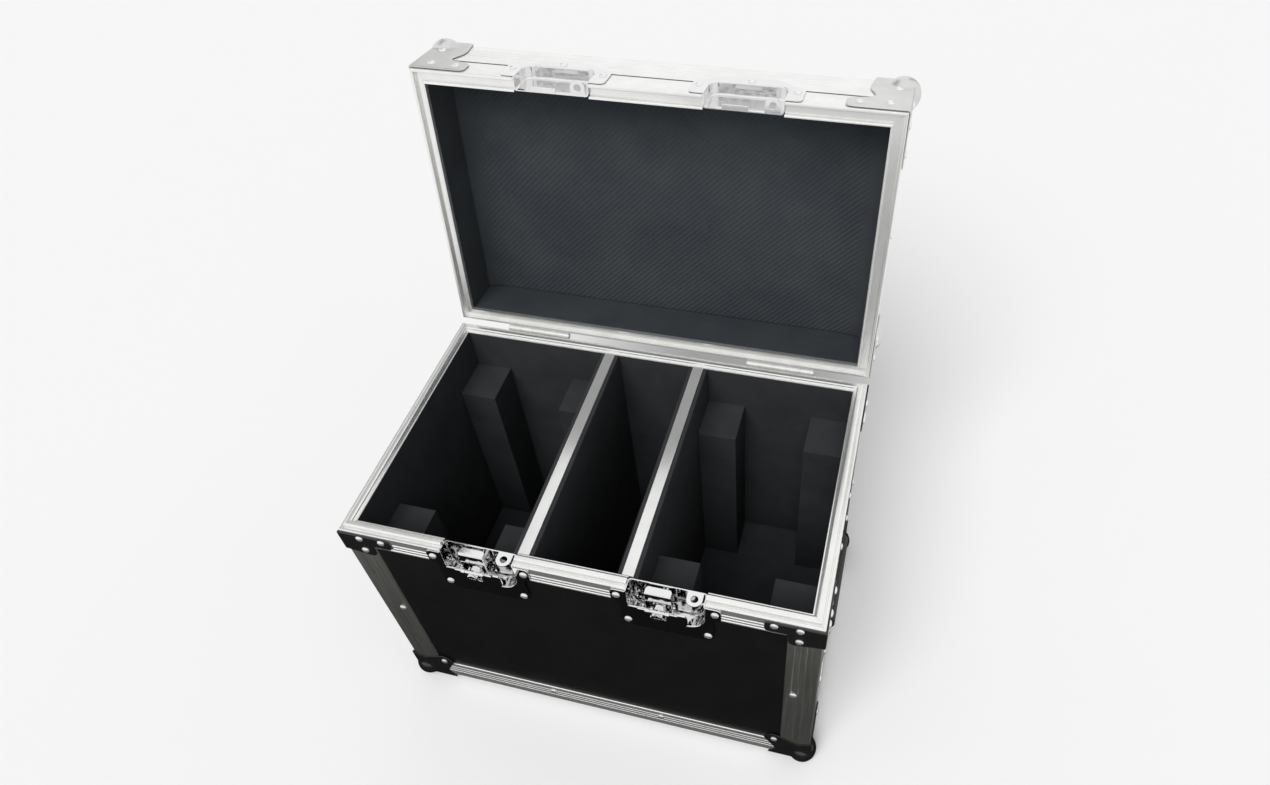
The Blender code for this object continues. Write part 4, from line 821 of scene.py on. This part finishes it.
def latch_rotor():
    """Turning heart of the latch, round its own axis: journal, cam, collar, hexagon and wing pin."""
    parts = [
        cylinder(5.5, (0, -3.5, -3.75), (0, -3.5, -1.75)),
        cylinder(6.9, (0, 0, -2), (0, 0, 0.6)),
        cylinder(6, (0, 0, 0.3), (0, 0, 7), 6),
        box((-7.7, 0, 2.9), (7.7, 7, 4.5)),
        cylinder(1.6, (-7.7, 7, PIN_OUT), (7.7, 7, PIN_OUT)),
        cylinder(1.1, (-12.4, 7, PIN_OUT), (12.4, 7, PIN_OUT)),
    ]
    slot = box((-3.5, -0.7, 5.8), (3.5, 0.7, 10))
    return solid(cylinder(3.5, (0, 0, -12.6), (0, 0, -3.5)), add=parts, cut=[slot])


def latch_wing():
    """Butterfly flap, round its pin: a plate notched for the key boss, with two knuckles."""
    flap = plate([rounded([
        (-30, 0.8, 3), (-30, -20, 9), (30, -20, 9), (30, 0.8, 3), (8.3, 0.8, 0.6), (8.3, -15.5, 3),
        (-8.3, -15.5, 3), (-8.3, 0.8, 0.6),
    ])], 2 - PIN_OUT, 3.4 - PIN_OUT)
    knuckles = [cylinder(2, (sign * 8, 0, 0), (sign * 12, 0, 0)) for sign in SIDES.values()]
    return solid(flap, add=knuckles, cut=[cylinder(1.3, (-20, 0, 0), (20, 0, 0))])


def latches():
    dish = latch_dish()
    keeper = keeper_dish()
    hook = latch_hook()
    rotor = latch_rotor()
    wing = latch_wing()
    for name, sign in SIDES.items():
        at_rim = wall_matrix("front", sign * LATCH_X, RIM)
        at_hub = at_rim @ Matrix.Translation((*HUB, 0))
        at_pin = at_rim @ Matrix.Translation((*PIN, PIN_OUT))
        for label, mesh, place, edge in (
            ("dish_", dish, at_rim, 0.3),
            ("keeper_", keeper, at_rim, 0.3),
            ("hook_", hook, at_rim, 0.25),
            ("rotor_", rotor, at_hub, 0.35),
            ("wing_", wing, at_pin, 0.4),
        ):
            stands_for = ["latch_" + label + name]
            soften(piece("pressed_" + label + name, mesh, "chrome", stands_for, place), edge, 2)


# Side handles, drawn round the middle of the dish

BAIL_HALF = 62
BAIL_DROP = 37
BAIL_RADIUS = 3.5
BAIL_HOLE = 3.8
PIVOT = (22, -5)
GRIP_HALF = 56
GRIP_STEPS = 112
RIB_PITCH = 8


def handle_dish():
    def path(offset, share):
        return rounded_box(-70 - offset, -50 - offset, 70 + offset, 50 + offset, 14 + offset)

    shell = pressed_dish(rounded_box(-85, -64, 85, 64, 12), path, -GAP, False)
    return solid(shell, cut=[cylinder(BAIL_HOLE, (-80, *PIVOT), (80, *PIVOT))])


def handle_bail():
    route = [(70.8, 0, 0), (BAIL_HALF, 0, 4), (BAIL_HALF, -BAIL_DROP, 4)]
    route = rounded(route + [(-x, y, radius) for x, y, radius in reversed(route)], 8, True)
    curve = bpy.data.curves.new("bail", "CURVE")
    curve.dimensions = "3D"
    curve.bevel_depth = BAIL_RADIUS
    curve.bevel_resolution = 6
    curve.use_fill_caps = True
    add_line(curve, route)
    return mesh_from(from_curve(curve))


def handle_grip():
    """Moulded grip round the bail's bar, with shallow ribs across it."""
    section = rounded_box(-8, -12, 8, 12, 6)
    bm = bmesh.new()
    rows = []
    for step in range(GRIP_STEPS + 1):
        x = -GRIP_HALF + GRIP_HALF * 2 * step / GRIP_STEPS
        edge = min(GRIP_HALF - abs(x), 3) / 3
        swell = 1 - 0.16 * (1 - edge) ** 2
        if abs(x) < GRIP_HALF - 6:
            swell -= 0.035 * (0.5 - 0.5 * math.cos(2 * math.pi * (x + GRIP_HALF) / RIB_PITCH)) ** 6
        rows.append([bm.verts.new((x, y * swell - BAIL_DROP, z * swell + 3)) for z, y in section])
    bm.faces.new(rows[0])
    bm.faces.new(rows[-1])
    skin(bm, rows)
    return solid(mesh_from(bm), cut=[cylinder(BAIL_HOLE, (-60, -BAIL_DROP, 0), (60, -BAIL_DROP, 0))])


def handles():
    dish = handle_dish()
    bail = handle_bail()
    grip = handle_grip()
    for name in SIDES:
        at_dish = wall_matrix(name, 0, HANDLE_Z)
        at_pivot = at_dish @ Matrix.Translation((0, *PIVOT))
        made = piece("pressed_handle_" + name, dish, "chrome", ["handle_dish_" + name], at_dish)
        soften(made, 0.3, 2)
        piece("bent_bail_" + name, bail, "chrome", ["handle_bail_" + name], at_pivot)
        piece("moulded_grip_" + name, grip, "grip", ["handle_grip_" + name], at_pivot, sharp=40)


# Hinges, drawn round the pin on the rear wall

HINGE_WIDTH = 78
HINGE_HEIGHT = 32
KNUCKLES = 5
KNUCKLE_RADIUS = 3.8
PIN_RADIUS = 1.5
PIN_BORE = 1.8


def hinge_leaf(knuckles, is_lid):
    """Leaf with the given knuckles: the base leaf carries the pin, the lid leaf has its bore."""
    left = -HINGE_WIDTH / 2
    pitch = HINGE_WIDTH / KNUCKLES
    low, high = 4.4, HINGE_HEIGHT
    outline = rounded([(left, low, 0), (-left, low, 0), (-left, high, 4.4), (left, high, 4.4)])
    flat = plate([outline], GAP, SHEET)
    rolls = []
    for index in knuckles:
        start = left + index * pitch + GAP / 2
        end = start + pitch - GAP
        rolls.append(box((start + 0.4, 1.2, 0.4), (end - 0.4, 8.8, 1.4)))
        rolls.append(cylinder(KNUCKLE_RADIUS, (start, 0, PIN_AXIS), (end, 0, PIN_AXIS)))
    ends = ((left - 0.5, 0, PIN_AXIS), (-left + 0.5, 0, PIN_AXIS))
    if is_lid:
        return solid(flat, add=rolls, cut=[cylinder(PIN_BORE, *ends)])
    return solid(flat, add=rolls + [cylinder(PIN_RADIUS, *ends)])


def hinges():
    base = moved(hinge_leaf((0, 2, 4), False), Matrix.Rotation(math.radians(180), 4, "Z"))
    lid = hinge_leaf((1, 3), True)
    for name, sign in SIDES.items():
        place = wall_matrix("rear", -sign * HINGE_X, RIM)
        for label, mesh in (("base", base), ("lid", lid)):
            leaf = label + "_leaf_" + name
            made = piece("rolled_" + leaf, mesh, "hinge", ["hinge_" + leaf], place)
            soften(made, 0.25, 2)


# Rivets

RIVET_RADIUS = 4
RIVET_HEIGHT = 2
RIVET_EDGE = 0.25
RIVET_SINK = 0.2
RIVET_SIDES = 24
RIVET_RINGS = 6

# Rivet places: inward and up from a corner, along the frames, or round a fitting's own middle
CORNER_INSET = 41.5
BRACE_SPOTS = ((23, -7.5), (47.5, -7.5), (23, -28.5))
LID_CORNER_SPOTS = ((18, 16), (46, 14), (13, LID_HEIGHT - 24))
UPRIGHT_SPOT = (24.5, 168)
FRAME_SPOTS = {"front": (-67, 71), "rear": (-69, 69), "left": (0,), "right": (0,)}
FRAME_UP = 23
LATCH_SPOTS = ((-49, -12), (49, -12), (-41, -57), (41, -57))
KEEPER_SPOTS = ((-48, 22), (48, 22), (0, 40))
HINGE_SPOTS = (-30, -10, 10, 30)
HINGE_UP = 20
HANDLE_SPOTS = ((-77, 0), (77, 0), (-70, 56.5), (0, 57), (70, 56.5), (-70, -56.5), (0, -57), (70, -56.5))


def add_rivet(bm, place):
    """Domed rivet head standing on the plane z = 0 of a place."""
    levels = [(RIVET_RADIUS, -RIVET_SINK), (RIVET_RADIUS, RIVET_EDGE)]
    for ring in range(1, RIVET_RINGS):
        lean = math.pi / 2 * ring / RIVET_RINGS
        dome = (RIVET_HEIGHT - RIVET_EDGE) * math.sin(lean)
        levels.append((RIVET_RADIUS * math.cos(lean), RIVET_EDGE + dome))
    rows = []
    for wide, up in levels:
        row = []
        for step in range(RIVET_SIDES):
            turn = 2 * math.pi * step / RIVET_SIDES
            row.append(bm.verts.new(place @ Vector((wide * math.cos(turn), wide * math.sin(turn), up))))
        rows.append(row)
    tip = bm.verts.new(place @ Vector((0, 0, RIVET_HEIGHT)))
    skin(bm, rows)
    for index in range(RIVET_SIDES):
        bm.faces.new((rows[-1][index - 1], rows[-1][index], tip))
    bm.faces.new(rows[0][::-1])


def on_wall(side, along, up, out):
    return wall_matrix(side, along, up) @ Matrix.Translation((0, 0, out))


def corner_pairs():
    """Every wall side of every corner: its wall, the corner's place along it and the way inward."""
    for x, y in CORNERS.values():
        side_x = "front" if y < 0 else "rear"
        facing = 1 if y < 0 else -1
        yield side_x, facing * x * HALF_WIDTH, -facing * x
        side_y = "right" if x > 0 else "left"
        facing = 1 if x > 0 else -1
        yield side_y, facing * y * HALF_DEPTH, -facing * y


def rivets(name, places, body):
    bm = bmesh.new()
    for place in places:
        add_rivet(bm, place)
    piece(name, mesh_from(bm), "rivet", body=body, sharp=50)


def all_rivets():
    hardware = GAP + CORNER_SHEET
    base = []
    lid = []
    for side, start, inward in corner_pairs():
        base.append(on_wall(side, start + inward * CORNER_INSET, BOTTOM + CORNER_INSET, hardware))
        for along, up in BRACE_SPOTS:
            base.append(on_wall(side, start + inward * along, RIM + up, hardware))
        for along, up in LID_CORNER_SPOTS:
            lid.append(on_wall(side, start + inward * along, RIM + up, hardware))
        base.append(on_wall(side, start + inward * UPRIGHT_SPOT[0], UPRIGHT_SPOT[1], 0))
    for x, y in CORNERS.values():
        along = x * (HALF_WIDTH - CORNER_INSET)
        across = y * (HALF_DEPTH - CORNER_INSET)
        below = Matrix.Translation((along, across, BOTTOM - hardware))
        base.append(below @ Matrix.Rotation(math.pi, 4, "X"))
        lid.append(Matrix.Translation((along, across, LID_TOP + hardware)))
    for side, spots in FRAME_SPOTS.items():
        for along in spots:
            base.append(on_wall(side, along, BOTTOM + FRAME_UP, 0))
            if side != "front":
                lid.append(on_wall(side, along, LID_TOP - FRAME_UP, 0))
    for sign in SIDES.values():
        for x, y in LATCH_SPOTS:
            base.append(on_wall("front", sign * LATCH_X + x, RIM + y, SHEET))
        for x, y in KEEPER_SPOTS:
            lid.append(on_wall("front", sign * LATCH_X + x, RIM + y, SHEET))
        for x in HINGE_SPOTS:
            base.append(on_wall("rear", sign * HINGE_X + x, RIM - HINGE_UP, SHEET))
            lid.append(on_wall("rear", sign * HINGE_X + x, RIM + HINGE_UP, SHEET))
    for side in SIDES:
        for x, y in HANDLE_SPOTS:
            base.append(on_wall(side, x, HANDLE_Z + y, -GAP))
    rivets("base_rivets", base, "case_base")
    rivets("lid_rivets", lid, "lid")


# Dividers and foam

CAP_SHEET = 1.2
CAP_HEIGHT = 12
FOAM_JOINT = 0.15
FOAM_EDGE = 0.9
FOAM_FLOOR = 10
FOAM_DROP = 1.5
LID_FOAM_UP = 6.1
BLOCK_WIDTH = 45
BLOCK_FRONT = 60.7
BLOCK_REAR = 53
BLOCK_DROP = 55
HANDLE_ROOM = (71.3, 51.3)
LATCH_ROOM_DROP = 47.3
PAD_THICK = 7.4
PAD_RIB = 0.7
PAD_PITCH = 4.8
PAD_SAMPLES = 8
PAD_EDGE = 2.5
COVE = 26
COVE_RISE = 6
PAD_INSETS = (0, 0.4, 1, 1.7, PAD_EDGE, 6, 10, 14, 18, 22, COVE)


def dividers():
    inner = DIVIDER_HALF - CAP_SHEET
    low = RIM - CAP_HEIGHT
    under = RIM - CAP_SHEET
    outline = rounded([
        (-DIVIDER_HALF, low, 0.3), (-inner, low, 0.3), (-inner, under, 0.2), (inner, under, 0.2),
        (inner, low, 0.3), (DIVIDER_HALF, low, 0.3), (DIVIDER_HALF, RIM, 0.8), (-DIVIDER_HALF, RIM, 0.8),
    ], PROFILE_STEPS)
    half = HALF_DEPTH - RIM_INNER - GAP
    cap = plate([outline], -half, half)
    for name, x in DIVIDERS.items():
        place = Matrix.Translation((x, 0, 0)) @ Matrix.Rotation(math.radians(90), 4, "X")
        flatten(piece("channel_cap_" + name, cap, "caps", ["divider_cap_" + name], place))


def sheets(name, boxes, cuts, material, node_name):
    """Foam piece of soft-edged sheets and blocks, cut where the fittings need room."""
    mesh = solid(joined([box(*ends) for ends in boxes]), cut=cuts)
    made = piece(name, mesh, material, [node_name], sharp=60)
    soften(made, FOAM_EDGE)


def foam_bay(name, left, right, blocks, cuts):
    """Lined bay between two places in x: floor, four walls and, with blocks, four corner blocks."""
    joint = FOAM_JOINT
    low = BOTTOM + LINING
    floor = low + FOAM_FLOOR
    high = RIM - FOAM_DROP
    half_y = HALF_DEPTH - LINING
    inner_y = HALF_DEPTH - LINING_FACE
    boxes = [
        ((left, -half_y, low), (right, half_y, floor)),
        ((left, -half_y, floor + joint), (left + FOAM, half_y, high)),
        ((right - FOAM, -half_y, floor + joint), (right, half_y, high)),
        ((left + FOAM + joint, -half_y, floor + joint), (right - FOAM - joint, -inner_y, high)),
        ((left + FOAM + joint, inner_y, floor + joint), (right - FOAM - joint, half_y, high)),
    ]
    if blocks:
        for x_wall, inward in ((left + FOAM, 1), (right - FOAM, -1)):
            xs = sorted((x_wall + inward * joint, x_wall + inward * BLOCK_WIDTH))
            for ys in ((-inner_y + joint, BLOCK_FRONT - inner_y), (inner_y - BLOCK_REAR, inner_y - joint)):
                boxes.append(((xs[0], ys[0], floor + joint), (xs[1], ys[1], RIM - BLOCK_DROP)))
    sheets("foam_" + name, boxes, cuts, "foam", "foam_bay_" + name)


def latch_room(sign, low, high):
    """Room that a latch or keeper dish takes in the front foam."""
    return box(
        (sign * LATCH_X - NOTCH_HALF, -HALF_DEPTH, low),
        (sign * LATCH_X + NOTCH_HALF, -HALF_DEPTH + NOTCH_DEPTH, high),
    )


def foam():
    half_x = HALF_WIDTH - LINING
    half_y = HALF_DEPTH - LINING
    off = DIVIDER_HALF + GAP
    first = DIVIDERS["left"]
    second = DIVIDERS["right"]
    rooms = {}
    for name, sign in SIDES.items():
        xs = sorted((sign * HALF_WIDTH, sign * (HALF_WIDTH - NOTCH_DEPTH)))
        half, rise = HANDLE_ROOM
        handle_room = box((xs[0], -half, HANDLE_Z - rise), (xs[1], half, HANDLE_Z + rise))
        rooms[name] = [latch_room(sign, RIM - LATCH_ROOM_DROP, RIM + PAST), handle_room]
    foam_bay("left", -half_x, first - off, True, rooms["left"])
    foam_bay("centre", first + off, second - off, False, [])
    foam_bay("right", second + off, half_x, True, rooms["right"])

    inner_x = HALF_WIDTH - LINING_FACE
    inner_y = HALF_DEPTH - LINING_FACE
    low = RIM + LID_FOAM_UP
    high = LID_TOP - LINING
    joint = FOAM_JOINT
    boxes = [
        ((-half_x, -half_y, low), (-inner_x, half_y, high)),
        ((inner_x, -half_y, low), (half_x, half_y, high)),
        ((joint - inner_x, -half_y, low), (inner_x - joint, -inner_y, high)),
        ((joint - inner_x, inner_y, low), (inner_x - joint, half_y, high)),
    ]
    cuts = [latch_room(sign, low - PAST, RIM + NOTCH_TOP) for sign in SIDES.values()]
    sheets("foam_lid_strips", boxes, cuts, "lid_foam", "lid_foam")
    shape = ribbed_pad(inner_x - joint, inner_y - joint, high)
    pad = piece("foam_lid_pad", shape, "lid_foam", ["lid_foam"], sharp=60)


def ribbed_pad(half_x, half_y, back):
    """Lid pad with diagonal ribs: strips along the ribs, cut off at the pad's edges, and a flat back."""
    slant = math.sqrt(2)
    step = PAD_PITCH / PAD_SAMPLES
    reach = (half_x + half_y) / slant
    offsets = [step * index for index in range(-int(reach / step), int(reach / step) + 1)]
    offsets += [sign * (half_x - half_y) / slant for sign in (-1, 1)]
    offsets = sorted(offset for offset in offsets if abs(offset) < reach - 0.05)

    def ends(offset):
        """Ends of the line x + y = offset * slant inside the pad."""
        total = offset * slant
        first = max(-half_x, total - half_y)
        last = min(half_x, total + half_y)
        return (first, total - first), (last, total - last)

    def height(x, y):
        wave = 0.5 + 0.5 * math.cos(2 * math.pi * (x + y) / slant / PAD_PITCH)
        edge = min(half_x - abs(x), half_y - abs(y))
        fall = 1 - min(edge, PAD_EDGE) / PAD_EDGE
        bend = max(0, 1 - (half_x - abs(x)) / COVE) ** 2 + max(0, 1 - (y + half_y) / COVE) ** 2
        ribs = PAD_RIB * (1 - wave ** 0.7) * (1 - fall) * max(0, 1 - 3 * bend)
        return back - PAD_THICK + ribs - COVE_RISE * min(bend, 1) + PAD_EDGE * 0.5 * fall * fall

    bm = bmesh.new()
    rows = []
    for offset in offsets:
        (x0, y0), (x1, y1) = ends(offset)
        length = math.hypot(x1 - x0, y1 - y0)
        shares = [min(inset * slant / length, 0.5) for inset in PAD_INSETS]
        shares += [1 - share for share in reversed(shares)]
        row = []
        for share in shares:
            x = x0 + (x1 - x0) * share
            y = y0 + (y1 - y0) * share
            row.append(bm.verts.new((x, y, height(x, y))))
        rows.append(row)
    skin(bm, rows, True)
    tips = []
    for x, y in ((-half_x, -half_y), (half_x, half_y)):
        tips.append(bm.verts.new((x, y, height(x, y))))
    for row, tip in ((rows[0], tips[0]), (rows[-1], tips[1])):
        for index in range(len(row) - 1):
            bm.faces.new((row[index], row[index + 1], tip))
    border = [tips[0]] + [row[0] for row in rows] + [tips[1]] + [row[-1] for row in reversed(rows)]
    under = [bm.verts.new((vert.co.x, vert.co.y, back)) for vert in border]
    for index in range(len(border)):
        bm.faces.new((border[index - 1], border[index], under[index], under[index - 1]))
    bm.faces.new(under)
    return mesh_from(bm)


# Studio

FLOOR_REACH = 30
FLOOR_TONE = 0.9
SUN_POWER = 2.3
SUN_ANGLE = 40
SUN_WAY = Vector((0.1, 0.6, -0.8))
FILL = 0.45
SLATS = 5
SLAT_LOW = 1.5
SLAT_PITCH = 0.13
SLAT_WIDTH = 0.03
CARD_LIFT = 0.001


def camera():
    data = bpy.data.cameras.new("camera")
    data.sensor_width = SENSOR
    data.lens = FOCAL / IMAGE_WIDTH * SENSOR
    data.shift_x = (IMAGE_WIDTH / 2 - CENTRE[0]) / IMAGE_WIDTH
    data.shift_y = (CENTRE[1] - IMAGE_HEIGHT / 2) / IMAGE_WIDTH
    data.clip_start = 0.05
    data.clip_end = 50
    made = placed("camera", data)
    turn = Matrix((CAMERA_RIGHT, -CAMERA_DOWN, -CAMERA_FORWARD)).transposed().to_4x4()
    made.matrix_world = CASE_AT @ Matrix.Translation(CAMERA_AT) @ turn
    bpy.context.scene.camera = made


def stage_sheet(name, corners, tone):
    """Flat stage sheet with a plain matt material."""
    mesh = bpy.data.meshes.new(name)
    mesh.from_pydata(corners, [], [(0, 1, 2, 3)])
    made = placed(name, mesh)
    material = bpy.data.materials.new(name)
    material.use_nodes = True
    shader = material.node_tree.nodes["Principled BSDF"]
    shader.inputs["Base Color"].default_value = (*grey(tone), 1)
    shader.inputs["Roughness"].default_value = 0.9
    shader.inputs["Specular IOR Level"].default_value = 0.1
    mesh.materials.append(material)
    return made


def level_corners(left, front, right, back, height):
    return [(left, front, height), (right, front, height), (right, back, height), (left, back, height)]


def upright_corners(left, right, y, low, high):
    return [(left, y, low), (right, y, low), (right, y, high), (left, y, high)]


def studio():
    level = CAD_BOX[0].z
    floor = level_corners(-FLOOR_REACH, -FLOOR_REACH, FLOOR_REACH, FLOOR_REACH, level)
    stage_sheet("pale_floor", floor, FLOOR_TONE)

    # Cards round the case, seen only in reflections: they give the bright metal its dark parts
    cards = [
        ("black_card", level_corners(-0.75, -0.62, 0.45, 0.42, level + CARD_LIFT), 0.004),
        ("grey_card", level_corners(-0.5, -2.2, 1.2, -0.62, level + CARD_LIFT), 0.28),
    ]
    for index in range(SLATS):
        low = SLAT_LOW + index * SLAT_PITCH
        slat = upright_corners(-1.7, 1.5, -1.9, low, low + SLAT_WIDTH)
        cards.append(("slat_" + str(index), slat, 0.01))
    cards += [
        ("card_behind_right", upright_corners(0.75, 1, 2.2, level + 0.02, 2.2), 0.04),
        ("card_behind_left", upright_corners(-1.68, -1.54, 2.2, level + 0.02, 2.2), 0.1),
        ("card_left", [(-2, 0.9, 2), (-2, 3.8, 2), (-2, 3.8, 4.2), (-2, 0.9, 4.2)], 0.45),
    ]
    for name, corners, tone in cards:
        card = stage_sheet(name, corners, tone)
        for flag in ("camera", "diffuse", "shadow", "transmission", "volume_scatter"):
            setattr(card, "visible_" + flag, False)

    sun = bpy.data.lights.new("key", "SUN")
    sun.energy = SUN_POWER
    sun.angle = math.radians(SUN_ANGLE)
    key = placed("key", sun)
    key.visible_glossy = False
    key.rotation_euler = SUN_WAY.to_track_quat("-Z", "Y").to_euler()

    # White world, at full strength where it is seen or reflected and weaker as light
    world = bpy.data.worlds.new("studio")
    bpy.context.scene.world = world
    world.use_nodes = True
    tree = world.node_tree
    back = tree.nodes["Background"]
    path = node(tree, "LightPath")
    seen = value_of(tree, "MAXIMUM", path.outputs["Is Camera Ray"], path.outputs["Is Glossy Ray"])
    seen = value_of(tree, "MAXIMUM", seen, path.outputs["Is Transmission Ray"])
    strength = value_of(tree, "ADD", value_of(tree, "MULTIPLY", seen, 1 - FILL), FILL)
    back.inputs["Color"].default_value = (1, 1, 1, 1)
    link(tree, strength, back.inputs["Strength"])
    bpy.context.scene.view_settings.view_transform = "Standard"


profiles()
corner_hardware()
latches()
handles()
hinges()
all_rivets()
dividers()
foam()
for name in NODES:
    if "panel" in name:
        paint(name, "laminate")
    elif "board" in name:
        paint(name, "board")
camera()
studio()

bpy.context.view_layer.update()
